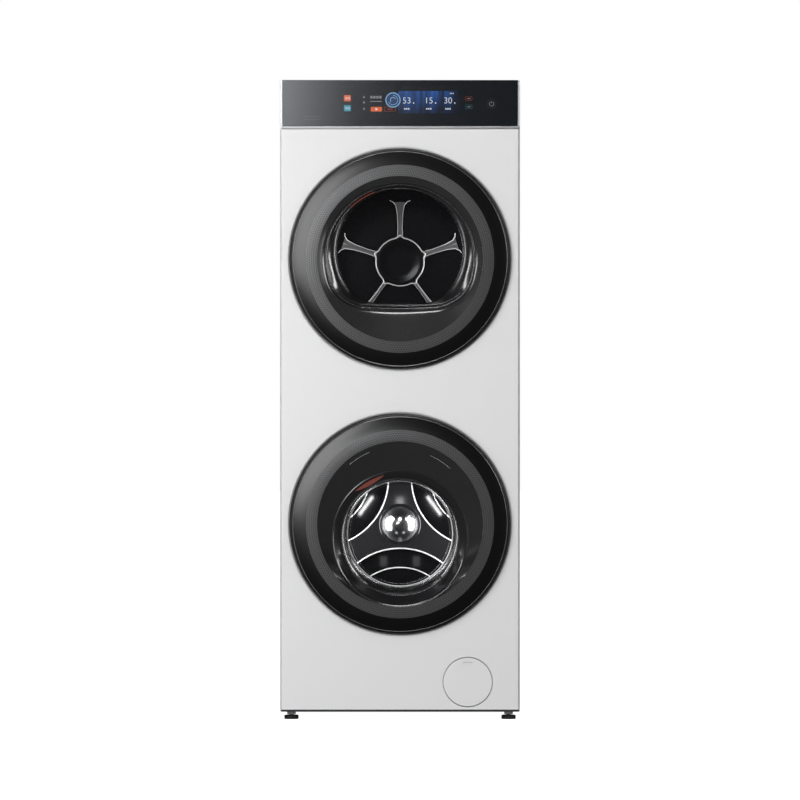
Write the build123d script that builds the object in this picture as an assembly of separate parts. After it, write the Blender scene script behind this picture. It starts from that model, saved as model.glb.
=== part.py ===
from build123d import *
import math
import os

# Washer dryer stack: a condenser tumble dryer above a front-loading washer in one 600 mm wide cabinet.
# Frame in millimetres: +X to the machine's right as seen from the front, +Y to the back, +Z up.
# Origin: on the floor at the centre of the footprint. The front faces -Y.

# ---- driving dimensions ----
WIDTH = 600.0
HEIGHT = 1600.0
DEPTH = 660.0
HALF_W = WIDTH / 2
FRONT_Y = -DEPTH / 2
REAR_Y = DEPTH / 2
DOOR_PROUD = 20.0
FACE_Y = FRONT_Y + DOOR_PROUD
SHEET = 1.2
FIT = 0.3

FOOT_HEIGHT = 20.0
PANEL_BOTTOM = 26.0
PANEL_TOP = 1477.0
PANEL_HALF_W = 297.0
PANEL_DEPTH = 20.0
CONSOLE_BOTTOM = 1484.0
CONSOLE_DEPTH = 44.0
SHELF_Z = 821.0
LID_DROP = 18.0

UPPER_Z = 1152.5
LOWER_Z = 490.0
DOOR_R = 274.0
HOLE_R = 277.0
BEVEL = 4.0
DISH_FLOOR_Y = -268.0
DISH_WALL = 2.0
GLASS_R_OUT = 267.3
GLASS_R_IN = 207.0
GLASS_T = 3.5
BEZEL_R = 206.7
BEZEL_Y = -328.2
BEZEL_T = 2.5
BEZEL_DROP = 28.0
RIM_BACK_Y = -290.0
FRAME_BACK_Y = -286.0
FRAME_R = 215.0

HINGE_X = 250.0
HINGE_Y = -313.0
HINGE_PIN_R = 2.0
HINGE_BORE_R = 2.05
HINGE_EAR_H = 46.0
HINGE_EAR_T = 6.0
NOTCH_X = 235.0
NOTCH_H = 62.0
SKIN_BACK_Y = -318.0

LATCH_X = -240.0
LATCH_SLOT_W = 24.0
LATCH_SLOT_H = 20.0

# Washer mouth: circle sunk below the door's centre, with the glass bowl behind it.
MOUTH_DROP = 36.7
MOUTH_R = 170.0
MOUTH_Y = -300.0
BOWL_END_R = 133.0
BOWL_END_Z = 463.0
BOWL_END_Y = -197.0
BOWL_T = 5.0

WASH_AXIS_Z = 477.0
WASH_DRUM_R = 245.0
WASH_DRUM_FRONT = -190.0
WASH_DRUM_BACK = 165.0
WASH_MOUTH_R = 178.0
DRUM_T = 1.5
TUB_R = 268.0
TUB_T = 4.0
TUB_FRONT = -205.0
TUB_BACK = 205.0
GASKET_Z = 463.0
GASKET_R = 175.0
DISH_THROAT_R = 187.0

DRY_AXIS_Z = 1160.0
DRY_DRUM_R = 262.0
DRY_DRUM_FRONT = -232.0
DRY_DRUM_BACK = 218.0
DRY_MOUTH_R = 205.0
SEAL_FRONT = -236.7
LINT_FRONT = -260.0
LINT_BACK = -242.0

# The dryer window is a D: a circle cut off by a straight sill with round lower corners.
WINDOW_FRONT_Y = -320.4
WINDOW_BACK_Y = -262.0
WINDOW_T = 4.0
WINDOW_FRONT = (186.0, 0.0, -147.3, 95.0)
WINDOW_BACK = (157.0, 20.0, -111.0, 80.0)
WINDOW_OPENING = (193.0, 0.0, -146.0, 95.0)

MOTOR_X = 222.0
MOTOR_Z = 882.0
BELT_Y = 62.0
BELT_W = 12.0
BELT_T = 3.0
BELT_GAP = 0.4
PULLEY_R = 14.0

FILTER_X = 169.5
FILTER_Z = 95.0
COVER_R = 61.0
COVER_HOLE_R = 63.0
COVER_T = 4.0
COVER_HINGE_Y = -308.0
COVER_HINGE_Z = 46.0
KNOB_R = 32.0
FILTER_CUP_R = 70.0
FILTER_CUP_BACK = -240.0

FOOT_X = 272.5
FOOT_Y_FRONT = -262.0
FOOT_Y_BACK = 296.0
FOOT_PAD_R = 18.0
FOOT_PAD_H = 10.0
FOOT_STEM_R = 6.0
FOOT_STEM_TOP = 62.0
STEM_CLEARANCE = 0.05

PORT_X0 = -250.0
PORT_X1 = -60.0
PORT_Z0 = 846.0
PORT_Z1 = 946.0
PORT_Y = 292.0
INLET_X = -210.0
DRAIN_X = -150.0
GLAND_X = -95.0
PORT_Z = 896.0
INLET_THREAD_R = 13.2
DRAIN_R = 10.0


# ---- helpers ----
def block(x0, x1, y0, y1, z0, z1):
    """A box between two corners."""
    centre = Pos((x0 + x1) / 2, (y0 + y1) / 2, (z0 + z1) / 2)
    return centre * Box(abs(x1 - x0), abs(y1 - y0), abs(z1 - z0))


def rod_y(radius, y0, y1, x=0.0, z=0.0):
    """A cylinder along Y."""
    return Pos(x, (y0 + y1) / 2, z) * Rot(90, 0, 0) * Cylinder(radius, y1 - y0)


def rod_z(radius, z0, z1, x=0.0, y=0.0):
    """A cylinder along Z."""
    return Pos(x, y, (z0 + z1) / 2) * Cylinder(radius, z1 - z0)


def rod_x(radius, x0, x1, y=0.0, z=0.0):
    """A cylinder along X."""
    return Pos((x0 + x1) / 2, y, z) * Rot(0, 90, 0) * Cylinder(radius, x1 - x0)


def tube_y(r_out, r_in, y0, y1, x=0.0, z=0.0):
    """A tube along Y."""
    return rod_y(r_out, y0, y1, x, z) - rod_y(r_in, y0 - 1, y1 + 1, x, z)


def facing(y, z):
    """A plane across the machine at depth y, centred on height z, with +X right and +Z up."""
    return Plane(origin=(0, y, z), x_dir=(1, 0, 0), z_dir=(0, -1, 0))


def turned(profile, z, x=0.0):
    """Turn a closed profile of (radius, y) points about the Y axis at height z."""
    face = make_face(Polyline(*profile, close=True))
    return Pos(x, 0, z) * revolve(face, Axis.Y, 360)


def cone_between(r0, z0, y0, r1, z1, y1):
    """A straight-sided solid between two circles that face the front."""
    first = facing(y0, z0) * Circle(r0)
    last = facing(y1, z1) * Circle(r1)
    return loft([first, last], ruled=True)


def d_face(radius, centre, sill, corner, grow=0.0):
    """A D: a circle about (0, centre), cut by a sill with corners of the given radius."""
    radius = radius + grow
    sill = sill - grow
    corner = corner + grow
    fillet_z = sill + corner
    fillet_x = math.sqrt((radius - corner) ** 2 - (fillet_z - centre) ** 2)
    reach = radius / (radius - corner)
    side_x = fillet_x * reach
    side_z = centre + (fillet_z - centre) * reach
    bisect_x = side_x - fillet_x
    bisect_z = side_z - fillet_z - corner
    scale = corner / math.hypot(bisect_x, bisect_z)
    mid_x = fillet_x + bisect_x * scale
    mid_z = fillet_z + bisect_z * scale
    top = ThreePointArc((side_x, side_z), (0, centre + radius), (-side_x, side_z))
    left = ThreePointArc((-side_x, side_z), (-mid_x, mid_z), (-fillet_x, sill))
    bottom = Line((-fillet_x, sill), (fillet_x, sill))
    right = ThreePointArc((fillet_x, sill), (mid_x, mid_z), (side_x, side_z))
    return make_face([top, left, bottom, right])


def window_solid(grow, y_back):
    """The tapering D of the dryer window, grown by some thickness."""
    first = facing(WINDOW_FRONT_Y, UPPER_Z) * d_face(*WINDOW_FRONT, grow)
    last = facing(y_back, UPPER_Z) * d_face(*WINDOW_BACK, grow)
    return loft([first, last], ruled=True)


def bowl_solid(grow, y_back):
    """The tapering round bowl of the washer door, grown by some thickness."""
    mouth_z = LOWER_Z - MOUTH_DROP
    return cone_between(MOUTH_R + grow, mouth_z, MOUTH_Y, BOWL_END_R + grow, BOWL_END_Z, y_back)


# ---- cabinet ----
def side_panel(side):
    """A folded side sheet with a hemmed front edge and returns at the back and bottom."""
    hem_y = FACE_Y + 4
    outer = HALF_W
    inner = HALF_W - SHEET
    back = REAR_Y - 4
    top = HEIGHT - LID_DROP - FIT
    skin = block(inner, outer, hem_y, back, FOOT_HEIGHT, top)
    hem = block(outer - 2.5, outer, hem_y, hem_y + 14, FOOT_HEIGHT, top)
    rear_return = block(outer - 14, outer, back - SHEET, back, FOOT_HEIGHT, top)
    foot_return = block(outer - 12, outer, FOOT_Y_FRONT + 30, FOOT_Y_BACK - 30,
                        FOOT_HEIGHT, FOOT_HEIGHT + SHEET)
    panel = skin + hem + rear_return + foot_return
    panel = panel - block(inner - 5, outer + 5, FACE_Y - 1, FACE_Y + 4 + CONSOLE_DEPTH + FIT,
                          PANEL_TOP + 0.5, HEIGHT)
    stiffener = rod_z(3.0, 140, 700, outer - SHEET, 60) & block(0, inner, -300, 300, 100, 800)
    panel = panel + stiffener
    if side < 0:
        panel = mirror(panel, Plane.YZ)
    return panel


def rear_panel():
    """The back sheet with a shallow service recess and pressed air slots."""
    panel = block(-PANEL_HALF_W, PANEL_HALF_W, REAR_Y - SHEET * 2, REAR_Y,
                  PANEL_BOTTOM, HEIGHT - LID_DROP - FIT)
    pocket = block(PORT_X0, PORT_X1, PORT_Y, REAR_Y - 1, PORT_Z0, PORT_Z1)
    hollow = block(PORT_X0 + SHEET, PORT_X1 - SHEET, PORT_Y + SHEET, REAR_Y + 1,
                   PORT_Z0 + SHEET, PORT_Z1 - SHEET)
    panel = panel + pocket - hollow
    for row in range(6):
        slot_z = 1230 + row * 18
        for slot_x in (-170, 0, 170):
            panel = panel - block(slot_x - 60, slot_x + 60, REAR_Y - 5, REAR_Y + 1, slot_z, slot_z + 6)
    panel = panel - rod_y(INLET_THREAD_R + 2.5, PORT_Y - 1, PORT_Y + 5, INLET_X, PORT_Z)
    panel = panel - rod_y(DRAIN_R + 2.0, PORT_Y - 1, PORT_Y + 5, DRAIN_X, PORT_Z)
    panel = panel - rod_y(11.0, PORT_Y - 1, PORT_Y + 5, GLAND_X, PORT_Z)
    return panel


def top_cover():
    """A shallow lid over the cabinet, behind the console."""
    front = FACE_Y + 4 + CONSOLE_DEPTH + FIT
    lid = block(-HALF_W, HALF_W, front, REAR_Y, HEIGHT - LID_DROP, HEIGHT)
    lid = fillet(lid.edges().filter_by(Axis.Z).sort_by(Axis.Y)[-2:], 8)
    lid = fillet(lid.faces().sort_by(Axis.Z)[-1].edges(), 2.5)
    return lid - block(-HALF_W + 3, HALF_W - 3, front + 3, REAR_Y - 3, HEIGHT - LID_DROP - 1, HEIGHT - 3)


def front_panel():
    """One pressed front sheet with two door holes, their bevelled lips and the filter hole."""
    back = FACE_Y + PANEL_DEPTH
    panel = block(-PANEL_HALF_W, PANEL_HALF_W, FACE_Y, back, PANEL_BOTTOM, PANEL_TOP)
    panel = fillet(panel.edges().filter_by(Axis.Z).sort_by(Axis.Y)[:2], 3)
    inner = block(-PANEL_HALF_W + SHEET, PANEL_HALF_W - SHEET, FACE_Y + SHEET, back + 1,
                  PANEL_BOTTOM + SHEET, PANEL_TOP - SHEET)
    panel = panel - inner
    lip_back = FACE_Y + 10
    for z in (UPPER_Z, LOWER_Z):
        panel = panel + rod_y(HOLE_R + 6, FACE_Y, lip_back, 0, z)
        panel = panel - rod_y(HOLE_R, FACE_Y - 1, lip_back + 1, 0, z)
        panel = panel - cone_between(HOLE_R + BEVEL, z, FACE_Y, HOLE_R, z, FACE_Y + BEVEL)
    panel = panel - rod_y(COVER_HOLE_R, FACE_Y - 1, FACE_Y + 5, FILTER_X, FILTER_Z)
    return panel


def base_frame():
    """The floor tray that carries the machine, with stem holes for the feet."""
    half = HALF_W - SHEET - FIT
    front = FACE_Y + PANEL_DEPTH + 2
    back = REAR_Y - 8
    tray = block(-half, half, front, back, FOOT_HEIGHT, 60)
    tray = tray - block(-half + 2.5, half - 2.5, front + 2.5, back - 2.5, FOOT_HEIGHT + 2.5, 61)
    tray = tray + block(-PANEL_HALF_W + FIT, PANEL_HALF_W - FIT, FACE_Y + 6, front + 5,
                        FOOT_HEIGHT, PANEL_BOTTOM - 0.5)
    for x in (-FOOT_X, FOOT_X):
        for y in (FOOT_Y_FRONT, FOOT_Y_BACK):
            boss = rod_z(FOOT_STEM_R + 6, FOOT_HEIGHT, 50, x, y)
            tray = tray + boss - rod_z(FOOT_STEM_R + STEM_CLEARANCE, FOOT_HEIGHT - 1, 51, x, y)
    cup_reach = FILTER_CUP_R + 1
    tray = tray - block(FILTER_X - cup_reach, FILTER_X + cup_reach, front - 1, FILTER_CUP_BACK + 1,
                        PANEL_BOTTOM + 1, 61)
    for side in (-1, 1):
        relief = block(side * (half + 1), side * (half - 12), FOOT_Y_FRONT + 29, FOOT_Y_BACK - 29,
                       FOOT_HEIGHT - 1, FOOT_HEIGHT + SHEET + FIT)
        tray = tray - relief
    return tray


def middle_shelf():
    """The cross tray between washer and dryer that also carries the dryer's works."""
    half = HALF_W - SHEET - FIT
    front = -262.0
    back = PORT_Y - 4
    tray = block(-half, half, front, back, SHELF_Z - 14, SHELF_Z)
    tray = tray - block(-half + 2, half - 2, front + 2, back - 2, SHELF_Z - 15, SHELF_Z - 2)
    for rib_y in (-150, 0, 150):
        tray = tray + block(-half + 1, half - 1, rib_y - 2, rib_y + 2, SHELF_Z - 14, SHELF_Z - 1)
    return tray


def control_housing():
    """The console body: a plastic box closed in front by the glass."""
    front = FACE_Y + 4
    back = front + CONSOLE_DEPTH
    body = block(-HALF_W, HALF_W, front, back, PANEL_TOP + 1, HEIGHT)
    body = fillet(body.edges().filter_by(Axis.Z).sort_by(Axis.Y)[:2], 2)
    hollow = block(-HALF_W + 8, HALF_W - 8, front + 6, back + 1, CONSOLE_BOTTOM + 4, HEIGHT - 4)
    window = block(-20, 170, front - 1, front + 7, CONSOLE_BOTTOM + 20, HEIGHT - 14)
    return body - hollow - window - block(-HALF_W - 1, HALF_W + 1, front - 1, front + 8,
                                          PANEL_TOP, CONSOLE_BOTTOM + 0.2)


def control_glass():
    """The dark glass fascia of the console."""
    glass = block(-294.5, 294.5, FACE_Y, FACE_Y + 4, CONSOLE_BOTTOM + 0.5, HEIGHT)
    return fillet(glass.faces().sort_by(Axis.Y)[0].edges(), 1.0)


def control_trim():
    """The bright strip between the front sheet and the console glass."""
    strip = block(-PANEL_HALF_W, PANEL_HALF_W, FACE_Y - 0.5, FACE_Y + 11.5, PANEL_TOP + 0.5, CONSOLE_BOTTOM)
    return fillet(strip.edges().filter_by(Axis.X).sort_by(Axis.Y)[:2], 1.2)


def control_electronics():
    """The display unit behind the glass and the main board across the console."""
    front = FACE_Y + 4
    display = block(-18, 168, front + 0.5, front + 18, CONSOLE_BOTTOM + 22, HEIGHT - 16)
    board = block(-250, 250, front + 30, front + 31.6, CONSOLE_BOTTOM + 12, HEIGHT - 12)
    for x in (-200, -120, -60, 60, 200):
        board = board + block(x - 16, x + 16, front + 20, front + 30.5, 1530, 1556)
    return Compound(children=[display, board])


# ---- door recesses and hinges ----
def dish(z, opening):
    """A round recess behind a door, with a flange against the front sheet and an open floor."""
    flange_y = FACE_Y + 10
    back = DISH_FLOOR_Y + DISH_WALL
    flange = rod_y(HOLE_R + 12, flange_y, flange_y + 2, 0, z)
    shell = rod_y(HOLE_R + DISH_WALL, flange_y, back, 0, z) + flange
    shell = shell - rod_y(HOLE_R, flange_y - 1, DISH_FLOOR_Y, 0, z) - opening
    return shell - latch_slot(z, DISH_FLOOR_Y - 1, back + 1)


def latch_slot(z, y0, y1):
    """The slot that a door's latch hook passes through."""
    return block(LATCH_X - LATCH_SLOT_W / 2, LATCH_X + LATCH_SLOT_W / 2, y0, y1,
                 z - LATCH_SLOT_H / 2, z + LATCH_SLOT_H / 2)


def washer_dish():
    return dish(LOWER_Z, rod_y(DISH_THROAT_R, DISH_FLOOR_Y - 1, DISH_FLOOR_Y + 5, 0, GASKET_Z))


def dryer_dish():
    opening = extrude(facing(DISH_FLOOR_Y + 5, UPPER_Z) * d_face(*WINDOW_OPENING), 10)
    return dish(UPPER_Z, opening)



def hinge_brackets():
    """For each door, a bracket on the recess floor with two cranked ears that hold the pin."""
    solids = []
    foot_y = DISH_FLOOR_Y - HINGE_Y
    outline = [(3.75, 1.37), (-5.5, 26.5), (-5.5, foot_y), (-14, foot_y), (-14, 20), (-3.75, -1.37)]
    for z in (UPPER_Z, LOWER_Z):
        bracket = block(232, 262, DISH_FLOOR_Y - 3, DISH_FLOOR_Y, z - 58, z + 58)
        for side in (-1, 1):
            low = z + side * (HINGE_EAR_H + HINGE_EAR_T / 2) - HINGE_EAR_T / 2
            profile = make_face(Polyline(*outline, close=True))
            arm = extrude(Pos(HINGE_X, HINGE_Y, low) * profile, HINGE_EAR_T)
            eye = rod_z(4.0, low, low + HINGE_EAR_T, HINGE_X, HINGE_Y)
            bracket = bracket + arm + eye
        bracket = bracket - rod_z(HINGE_PIN_R, z - 70, z + 70, HINGE_X, HINGE_Y)
        solids.append(bracket)
    return Compound(children=solids)


def hinge_pins():
    half = HINGE_EAR_H + HINGE_EAR_T
    pins = [rod_z(HINGE_PIN_R, z - half, z + half, HINGE_X, HINGE_Y) for z in (UPPER_Z, LOWER_Z)]
    return Compound(children=pins)


def door_locks():
    """The interlock behind each recess, with a pocket for the latch hook."""
    solids = []
    for z in (UPPER_Z, LOWER_Z):
        lock = block(LATCH_X - 22, LATCH_X + 17, -261.5, -238, z - 30, z + 30)
        solids.append(lock - latch_slot(z, -263, -244))
    return Compound(children=solids)


# ---- doors ----
def hinge_notch(z):
    """The room behind the door's skin for the hinge bracket."""
    return block(NOTCH_X, HALF_W, SKIN_BACK_Y, -200, z - NOTCH_H, z + NOTCH_H)


def door_rim(z):
    """The outer ring of a door: front lip, side wall, back plate and the web behind the glass."""
    profile = [
        (268.3, -323.6), (271.5, -323.0), (273.3, -321.8), (DOOR_R, -320.0), (DOOR_R, RIM_BACK_Y),
        (FRAME_R + 1, RIM_BACK_Y), (FRAME_R + 1, RIM_BACK_Y - 3), (270.5, RIM_BACK_Y - 3), (270.5, -316.6),
        (210, -322.5), (210, -325.6), (268.3, -319.6),
    ]
    return turned(profile, z) - hinge_notch(z)


def door_glass(z):
    """The annular front glass, domed so that it falls away to the rim."""
    outer = (GLASS_R_OUT, -323.6)
    middle = (240.0, -328.2)
    inner = (GLASS_R_IN, FRONT_Y)
    front = ThreePointArc(outer, middle, inner)
    inner_back = (inner[0], inner[1] + GLASS_T)
    outer_back = (outer[0], outer[1] + GLASS_T)
    back = ThreePointArc(inner_back, (middle[0], middle[1] + GLASS_T), outer_back)
    face = make_face([front, Line(inner, inner_back), back, Line(outer_back, outer)])
    return Pos(0, 0, z) * revolve(face, Axis.Y, 360)


def lower_door_bezel():
    """The funnel from the concentric glass ring to the sunken round mouth."""
    mouth_z = LOWER_Z - MOUTH_DROP
    inside = cone_between(BEZEL_R - 0.6, LOWER_Z, BEZEL_Y, MOUTH_R, mouth_z, MOUTH_Y)
    outside = cone_between(BEZEL_R, LOWER_Z, BEZEL_Y + 2.4, MOUTH_R + BEZEL_T + 6, mouth_z, MOUTH_Y)
    skirt = rod_y(BEZEL_R, BEZEL_Y, BEZEL_Y + 4, 0, LOWER_Z)
    return outside + skirt - inside


def bezel_cone(offset):
    """Profile line of the dryer bezel, moved back by an offset: (radius, y) pairs."""
    return [(BEZEL_R, BEZEL_Y + offset), (130.0, BEZEL_Y + BEZEL_DROP + offset)]


def upper_door_bezel():
    """The shallow cone from the glass ring down to the D-shaped window."""
    profile = bezel_cone(0) + list(reversed(bezel_cone(BEZEL_T)))
    return turned(profile, UPPER_Z) - window_solid(0, WINDOW_BACK_Y)


def upper_door_window():
    """The D-shaped glass, sunk behind the bezel and closed at the back."""
    shell = window_solid(WINDOW_T, WINDOW_BACK_Y) - window_solid(0, WINDOW_BACK_Y - WINDOW_T)
    edge = bezel_cone(BEZEL_T + 0.2)
    cutter = [(0, -345), (225, -345), (225, edge[0][1]), edge[0], edge[1], (0, edge[1][1])]
    in_front = turned(cutter, UPPER_Z)
    return shell - in_front


def lower_door_bowl():
    """The round glass bowl that reaches back to the drum, with a flange behind the bezel."""
    mouth_z = LOWER_Z - MOUTH_DROP
    flange = rod_y(MOUTH_R + 10, MOUTH_Y + 0.2, MOUTH_Y + 4, 0, mouth_z)
    shell = bowl_solid(BOWL_T, BOWL_END_Y) & block(-400, 400, MOUTH_Y + 0.2, 0, 0, 1000)
    return shell + flange - bowl_solid(0, BOWL_END_Y - BOWL_T)


def door_frame(z, plug):
    """The inner ring that clamps the window to the door's back."""
    ring = rod_y(FRAME_R, -295.8, RIM_BACK_Y, 0, z) + rod_y(FRAME_R + 9, RIM_BACK_Y, FRAME_BACK_Y, 0, z)
    ring = ring - plug
    return ring - hinge_notch(z)


def lower_door_grip():
    """A crescent pull grip inside the upper left of the mouth."""
    mouth_z = LOWER_Z - MOUTH_DROP
    outer_r = 163.0
    start = math.radians(104)
    end = math.radians(133.5)
    middle = (start + end) / 2
    first = (outer_r * math.cos(start), outer_r * math.sin(start))
    last = (outer_r * math.cos(end), outer_r * math.sin(end))
    crown = (outer_r * math.cos(middle), outer_r * math.sin(middle))
    inner_r = outer_r - 10.0
    belly = (inner_r * math.cos(middle), inner_r * math.sin(middle))
    crescent = make_face([ThreePointArc(first, crown, last), ThreePointArc(last, belly, first)])
    return extrude(facing(MOUTH_Y + 24, mouth_z) * crescent, 27)


def door_fittings(z):
    """The hinge leaf with its knuckle, and the latch hook at the other side of the door."""
    knuckle = rod_z(4.4, z - HINGE_EAR_H + FIT, z + HINGE_EAR_H - FIT, HINGE_X, HINGE_Y)
    plate = block(205, HINGE_X, HINGE_Y - 1, HINGE_Y + 3, z - 40, z + 40)
    leaf = knuckle + plate - rod_z(HINGE_BORE_R, z - 60, z + 60, HINGE_X, HINGE_Y)
    foot = block(LATCH_X - 14, LATCH_X + 14, RIM_BACK_Y + 0.02, RIM_BACK_Y + 3, z - 22, z + 22)
    stem = block(LATCH_X - 4, LATCH_X + 4, RIM_BACK_Y + 1, -252, z - 6, z + 6)
    barb = block(LATCH_X - 4, LATCH_X + 7, -258, -252, z - 6, z + 6)
    return Compound(children=[leaf, foot + stem + barb])


# ---- washer ----
def washer_tub():
    """The closed plastic tub with a front hole for the gasket and a rear hub for the bearings."""
    outer = TUB_R + TUB_T
    tub = rod_y(outer, TUB_FRONT, TUB_BACK, 0, WASH_AXIS_Z)
    tub = tub - rod_y(TUB_R, TUB_FRONT + TUB_T, TUB_BACK - TUB_T, 0, WASH_AXIS_Z)
    tub = tub - rod_y(190, TUB_FRONT - 1, TUB_FRONT + TUB_T + 1, 0, GASKET_Z)
    tub = tub + tube_y(46, 32, TUB_BACK - TUB_T, TUB_BACK + 20, 0, WASH_AXIS_Z)
    tub = tub - rod_y(32, TUB_BACK - 10, TUB_BACK + 30, 0, WASH_AXIS_Z)
    for angle in range(0, 360, 30):
        rib = block(50, outer - 3, TUB_BACK - 1, TUB_BACK + 8, -2, 2)
        tub = tub + Pos(0, 0, WASH_AXIS_Z) * Rot(0, angle, 0) * rib
    sump = block(60, 120, -60, 20, WASH_AXIS_Z - outer - 18, WASH_AXIS_Z - outer + 22)
    return tub + sump - rod_y(TUB_R, TUB_FRONT + TUB_T, TUB_BACK - TUB_T, 0, WASH_AXIS_Z)


def door_gasket():
    """The rubber bellows between the recess floor and the tub's front hole."""
    r = GASKET_R
    profile = [
        (r, -273), (r, -256), (r + 26, -250), (r + 26, -238), (r + 4, -230), (r + 4, -198),
        (r + 18, -198), (r + 18, TUB_FRONT + TUB_T + 0.2), (r + 14, TUB_FRONT + TUB_T + 0.2),
        (r + 14, TUB_FRONT - 0.5), (r + 9, -226), (r + 31, -234), (r + 31, -254), (r + 11, -261.5),
        (r + 11, DISH_FLOOR_Y - 0.4), (r + 20, DISH_FLOOR_Y - 0.4), (r + 20, -273),
    ]
    return turned(profile, GASKET_Z)


def counterweight():
    """A concrete ring section on top of the tub's front wall."""
    ring = tube_y(255, 214, TUB_FRONT - 38, TUB_FRONT - 0.5, 0, WASH_AXIS_Z)
    return ring & block(-260, 260, -260, -200, WASH_AXIS_Z + 60, WASH_AXIS_Z + 260)


def coil(radius, wire, z0, z1, x, y):
    """A close-wound coil drawn as a ribbed tube."""
    turns = round((z1 - z0) / (2 * wire))
    pitch = (z1 - z0) / turns
    points = [(radius - wire, z0)]
    for turn in range(turns):
        points.append((radius, z0 + (turn + 0.5) * pitch))
        points.append((radius - wire * 0.6, z0 + (turn + 1) * pitch))
    points.append((radius - wire, z1))
    face = Plane.XZ * make_face(Polyline(*points, close=True))
    return Pos(x, y, 0) * revolve(face, Axis.Z, 360)


def tub_suspension():
    """Two hanging springs above the tub and two friction dampers below it."""
    solids = []
    for side in (-1, 1):
        spring_x = side * 205
        solids.append(coil(11, 3, 690, 785, spring_x, 40))
        solids.append(rod_z(2.5, 785.2, SHELF_Z - 2.2, spring_x, 40))
        solids.append(rod_z(2.5, 662, 689.8, spring_x, 40))
        damper_x = side * 150
        solids.append(rod_z(13, 40, 150, damper_x, 60))
        solids.append(rod_z(6, 150.2, 245, damper_x, 60))
    return Compound(children=solids)


def tub_bearings():
    """The two bearings of the drum shaft in the tub's hub."""
    front = tube_y(31.8, 15.0, TUB_BACK - 14, TUB_BACK + 1, 0, WASH_AXIS_Z)
    rear = tube_y(31.8, 15.0, TUB_BACK + 4, TUB_BACK + 18, 0, WASH_AXIS_Z)
    return Compound(children=[front, rear])


def motor_stator():
    """The stator of the direct drive, a ring of poles on the tub's back."""
    ring = tube_y(90, 52, TUB_BACK + 20.5, TUB_BACK + 44, 0, WASH_AXIS_Z)
    for angle in range(0, 360, 15):
        pole = block(88, 112, TUB_BACK + 22, TUB_BACK + 42, -6, 6)
        ring = ring + Pos(0, 0, WASH_AXIS_Z) * Rot(0, angle, 0) * pole
    return ring


def washer_drum():
    """The perforated basket: shell, front ring and back wall."""
    outer = WASH_DRUM_R + DRUM_T
    drum = rod_y(outer, WASH_DRUM_FRONT, WASH_DRUM_BACK, 0, WASH_AXIS_Z)
    drum = drum - rod_y(WASH_DRUM_R, WASH_DRUM_FRONT + DRUM_T, WASH_DRUM_BACK - DRUM_T, 0, WASH_AXIS_Z)
    drum = drum - rod_y(WASH_MOUTH_R, WASH_DRUM_FRONT - 1, WASH_DRUM_FRONT + 3, 0, WASH_AXIS_Z)
    return drum - rod_y(15.2, WASH_DRUM_BACK - 5, WASH_DRUM_BACK + 5, 0, WASH_AXIS_Z)


def three_way_star(half_arm, waist, reach, y0, y1):
    """A three-armed plate: a disc with three round bites between the arms."""
    plate = rod_y(reach, y0, y1, 0, 0)
    bite_r = (reach ** 2 - half_arm ** 2) ** 0.5
    bite_r = bite_r - waist * 0.35
    for angle in (30, 150, 270):
        direction = math.radians(angle)
        away = waist + bite_r
        bite_x = away * math.cos(direction)
        bite_z = away * math.sin(direction)
        plate = plate - rod_y(bite_r, y0 - 1, y1 + 1, bite_x, bite_z)
    return plate


def washer_drum_star():
    """The three-armed cover inside the drum's back, with a domed hub."""
    back = WASH_DRUM_BACK - DRUM_T
    star = three_way_star(31, 62, 238, back - 14, back)
    hub = rod_y(58, back - 20, back - 2, 0, 0)
    dome_r = 50.0
    dome_h = 18.0
    sphere_r = (dome_r ** 2 + dome_h ** 2) / (2 * dome_h)
    dome = Pos(0, back - 20 - dome_h + sphere_r, 0) * Sphere(sphere_r)
    dome = dome & rod_y(dome_r, back - 20 - dome_h - 1, back - 19, 0, 0)
    return Pos(0, 0, WASH_AXIS_Z) * (star + hub + dome)


def drum_lifters():
    """Three hollow-backed paddles along the drum wall."""
    solids = []
    for angle in (30, 150, 270):
        wedge = make_face(Polyline((WASH_DRUM_R - 0.8, -34), (WASH_DRUM_R - 54, -13),
                                   (WASH_DRUM_R - 54, 13), (WASH_DRUM_R - 0.8, 34), close=True))
        paddle = extrude(Plane.XZ * wedge, 290)
        paddle = Pos(0, 140, 0) * paddle
        paddle = fillet(paddle.edges().filter_by(Axis.Y).sort_by(Axis.X)[:2], 10)
        paddle = paddle & rod_y(WASH_DRUM_R - 0.1, -200, 200, 0, 0)
        solids.append(Pos(0, 0, WASH_AXIS_Z) * Rot(0, -angle, 0) * paddle)
    return Compound(children=solids)


def drum_shaft():
    """The three-armed casting behind the drum and its shaft through the bearings."""
    shaft = rod_y(14.95, WASH_DRUM_BACK - DRUM_T + 0.1, TUB_BACK + 58, 0, 0)
    hub = rod_y(40, WASH_DRUM_BACK + 0.2, WASH_DRUM_BACK + 18, 0, 0)
    spider = shaft + hub
    for angle in (90, 210, 330):
        arm = block(30, 236, WASH_DRUM_BACK + 0.2, WASH_DRUM_BACK + 14, -16, 16)
        spider = spider + Rot(0, -angle, 0) * arm
    return Pos(0, 0, WASH_AXIS_Z) * spider


def motor_rotor():
    """The outer rotor bell of the direct drive."""
    front = TUB_BACK + 20
    back = TUB_BACK + 52
    bell = rod_y(130, front, back, 0, WASH_AXIS_Z) - rod_y(118, front - 1, back - 5, 0, WASH_AXIS_Z)
    return bell - rod_y(15.2, front - 1, back + 1, 0, WASH_AXIS_Z)


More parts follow.
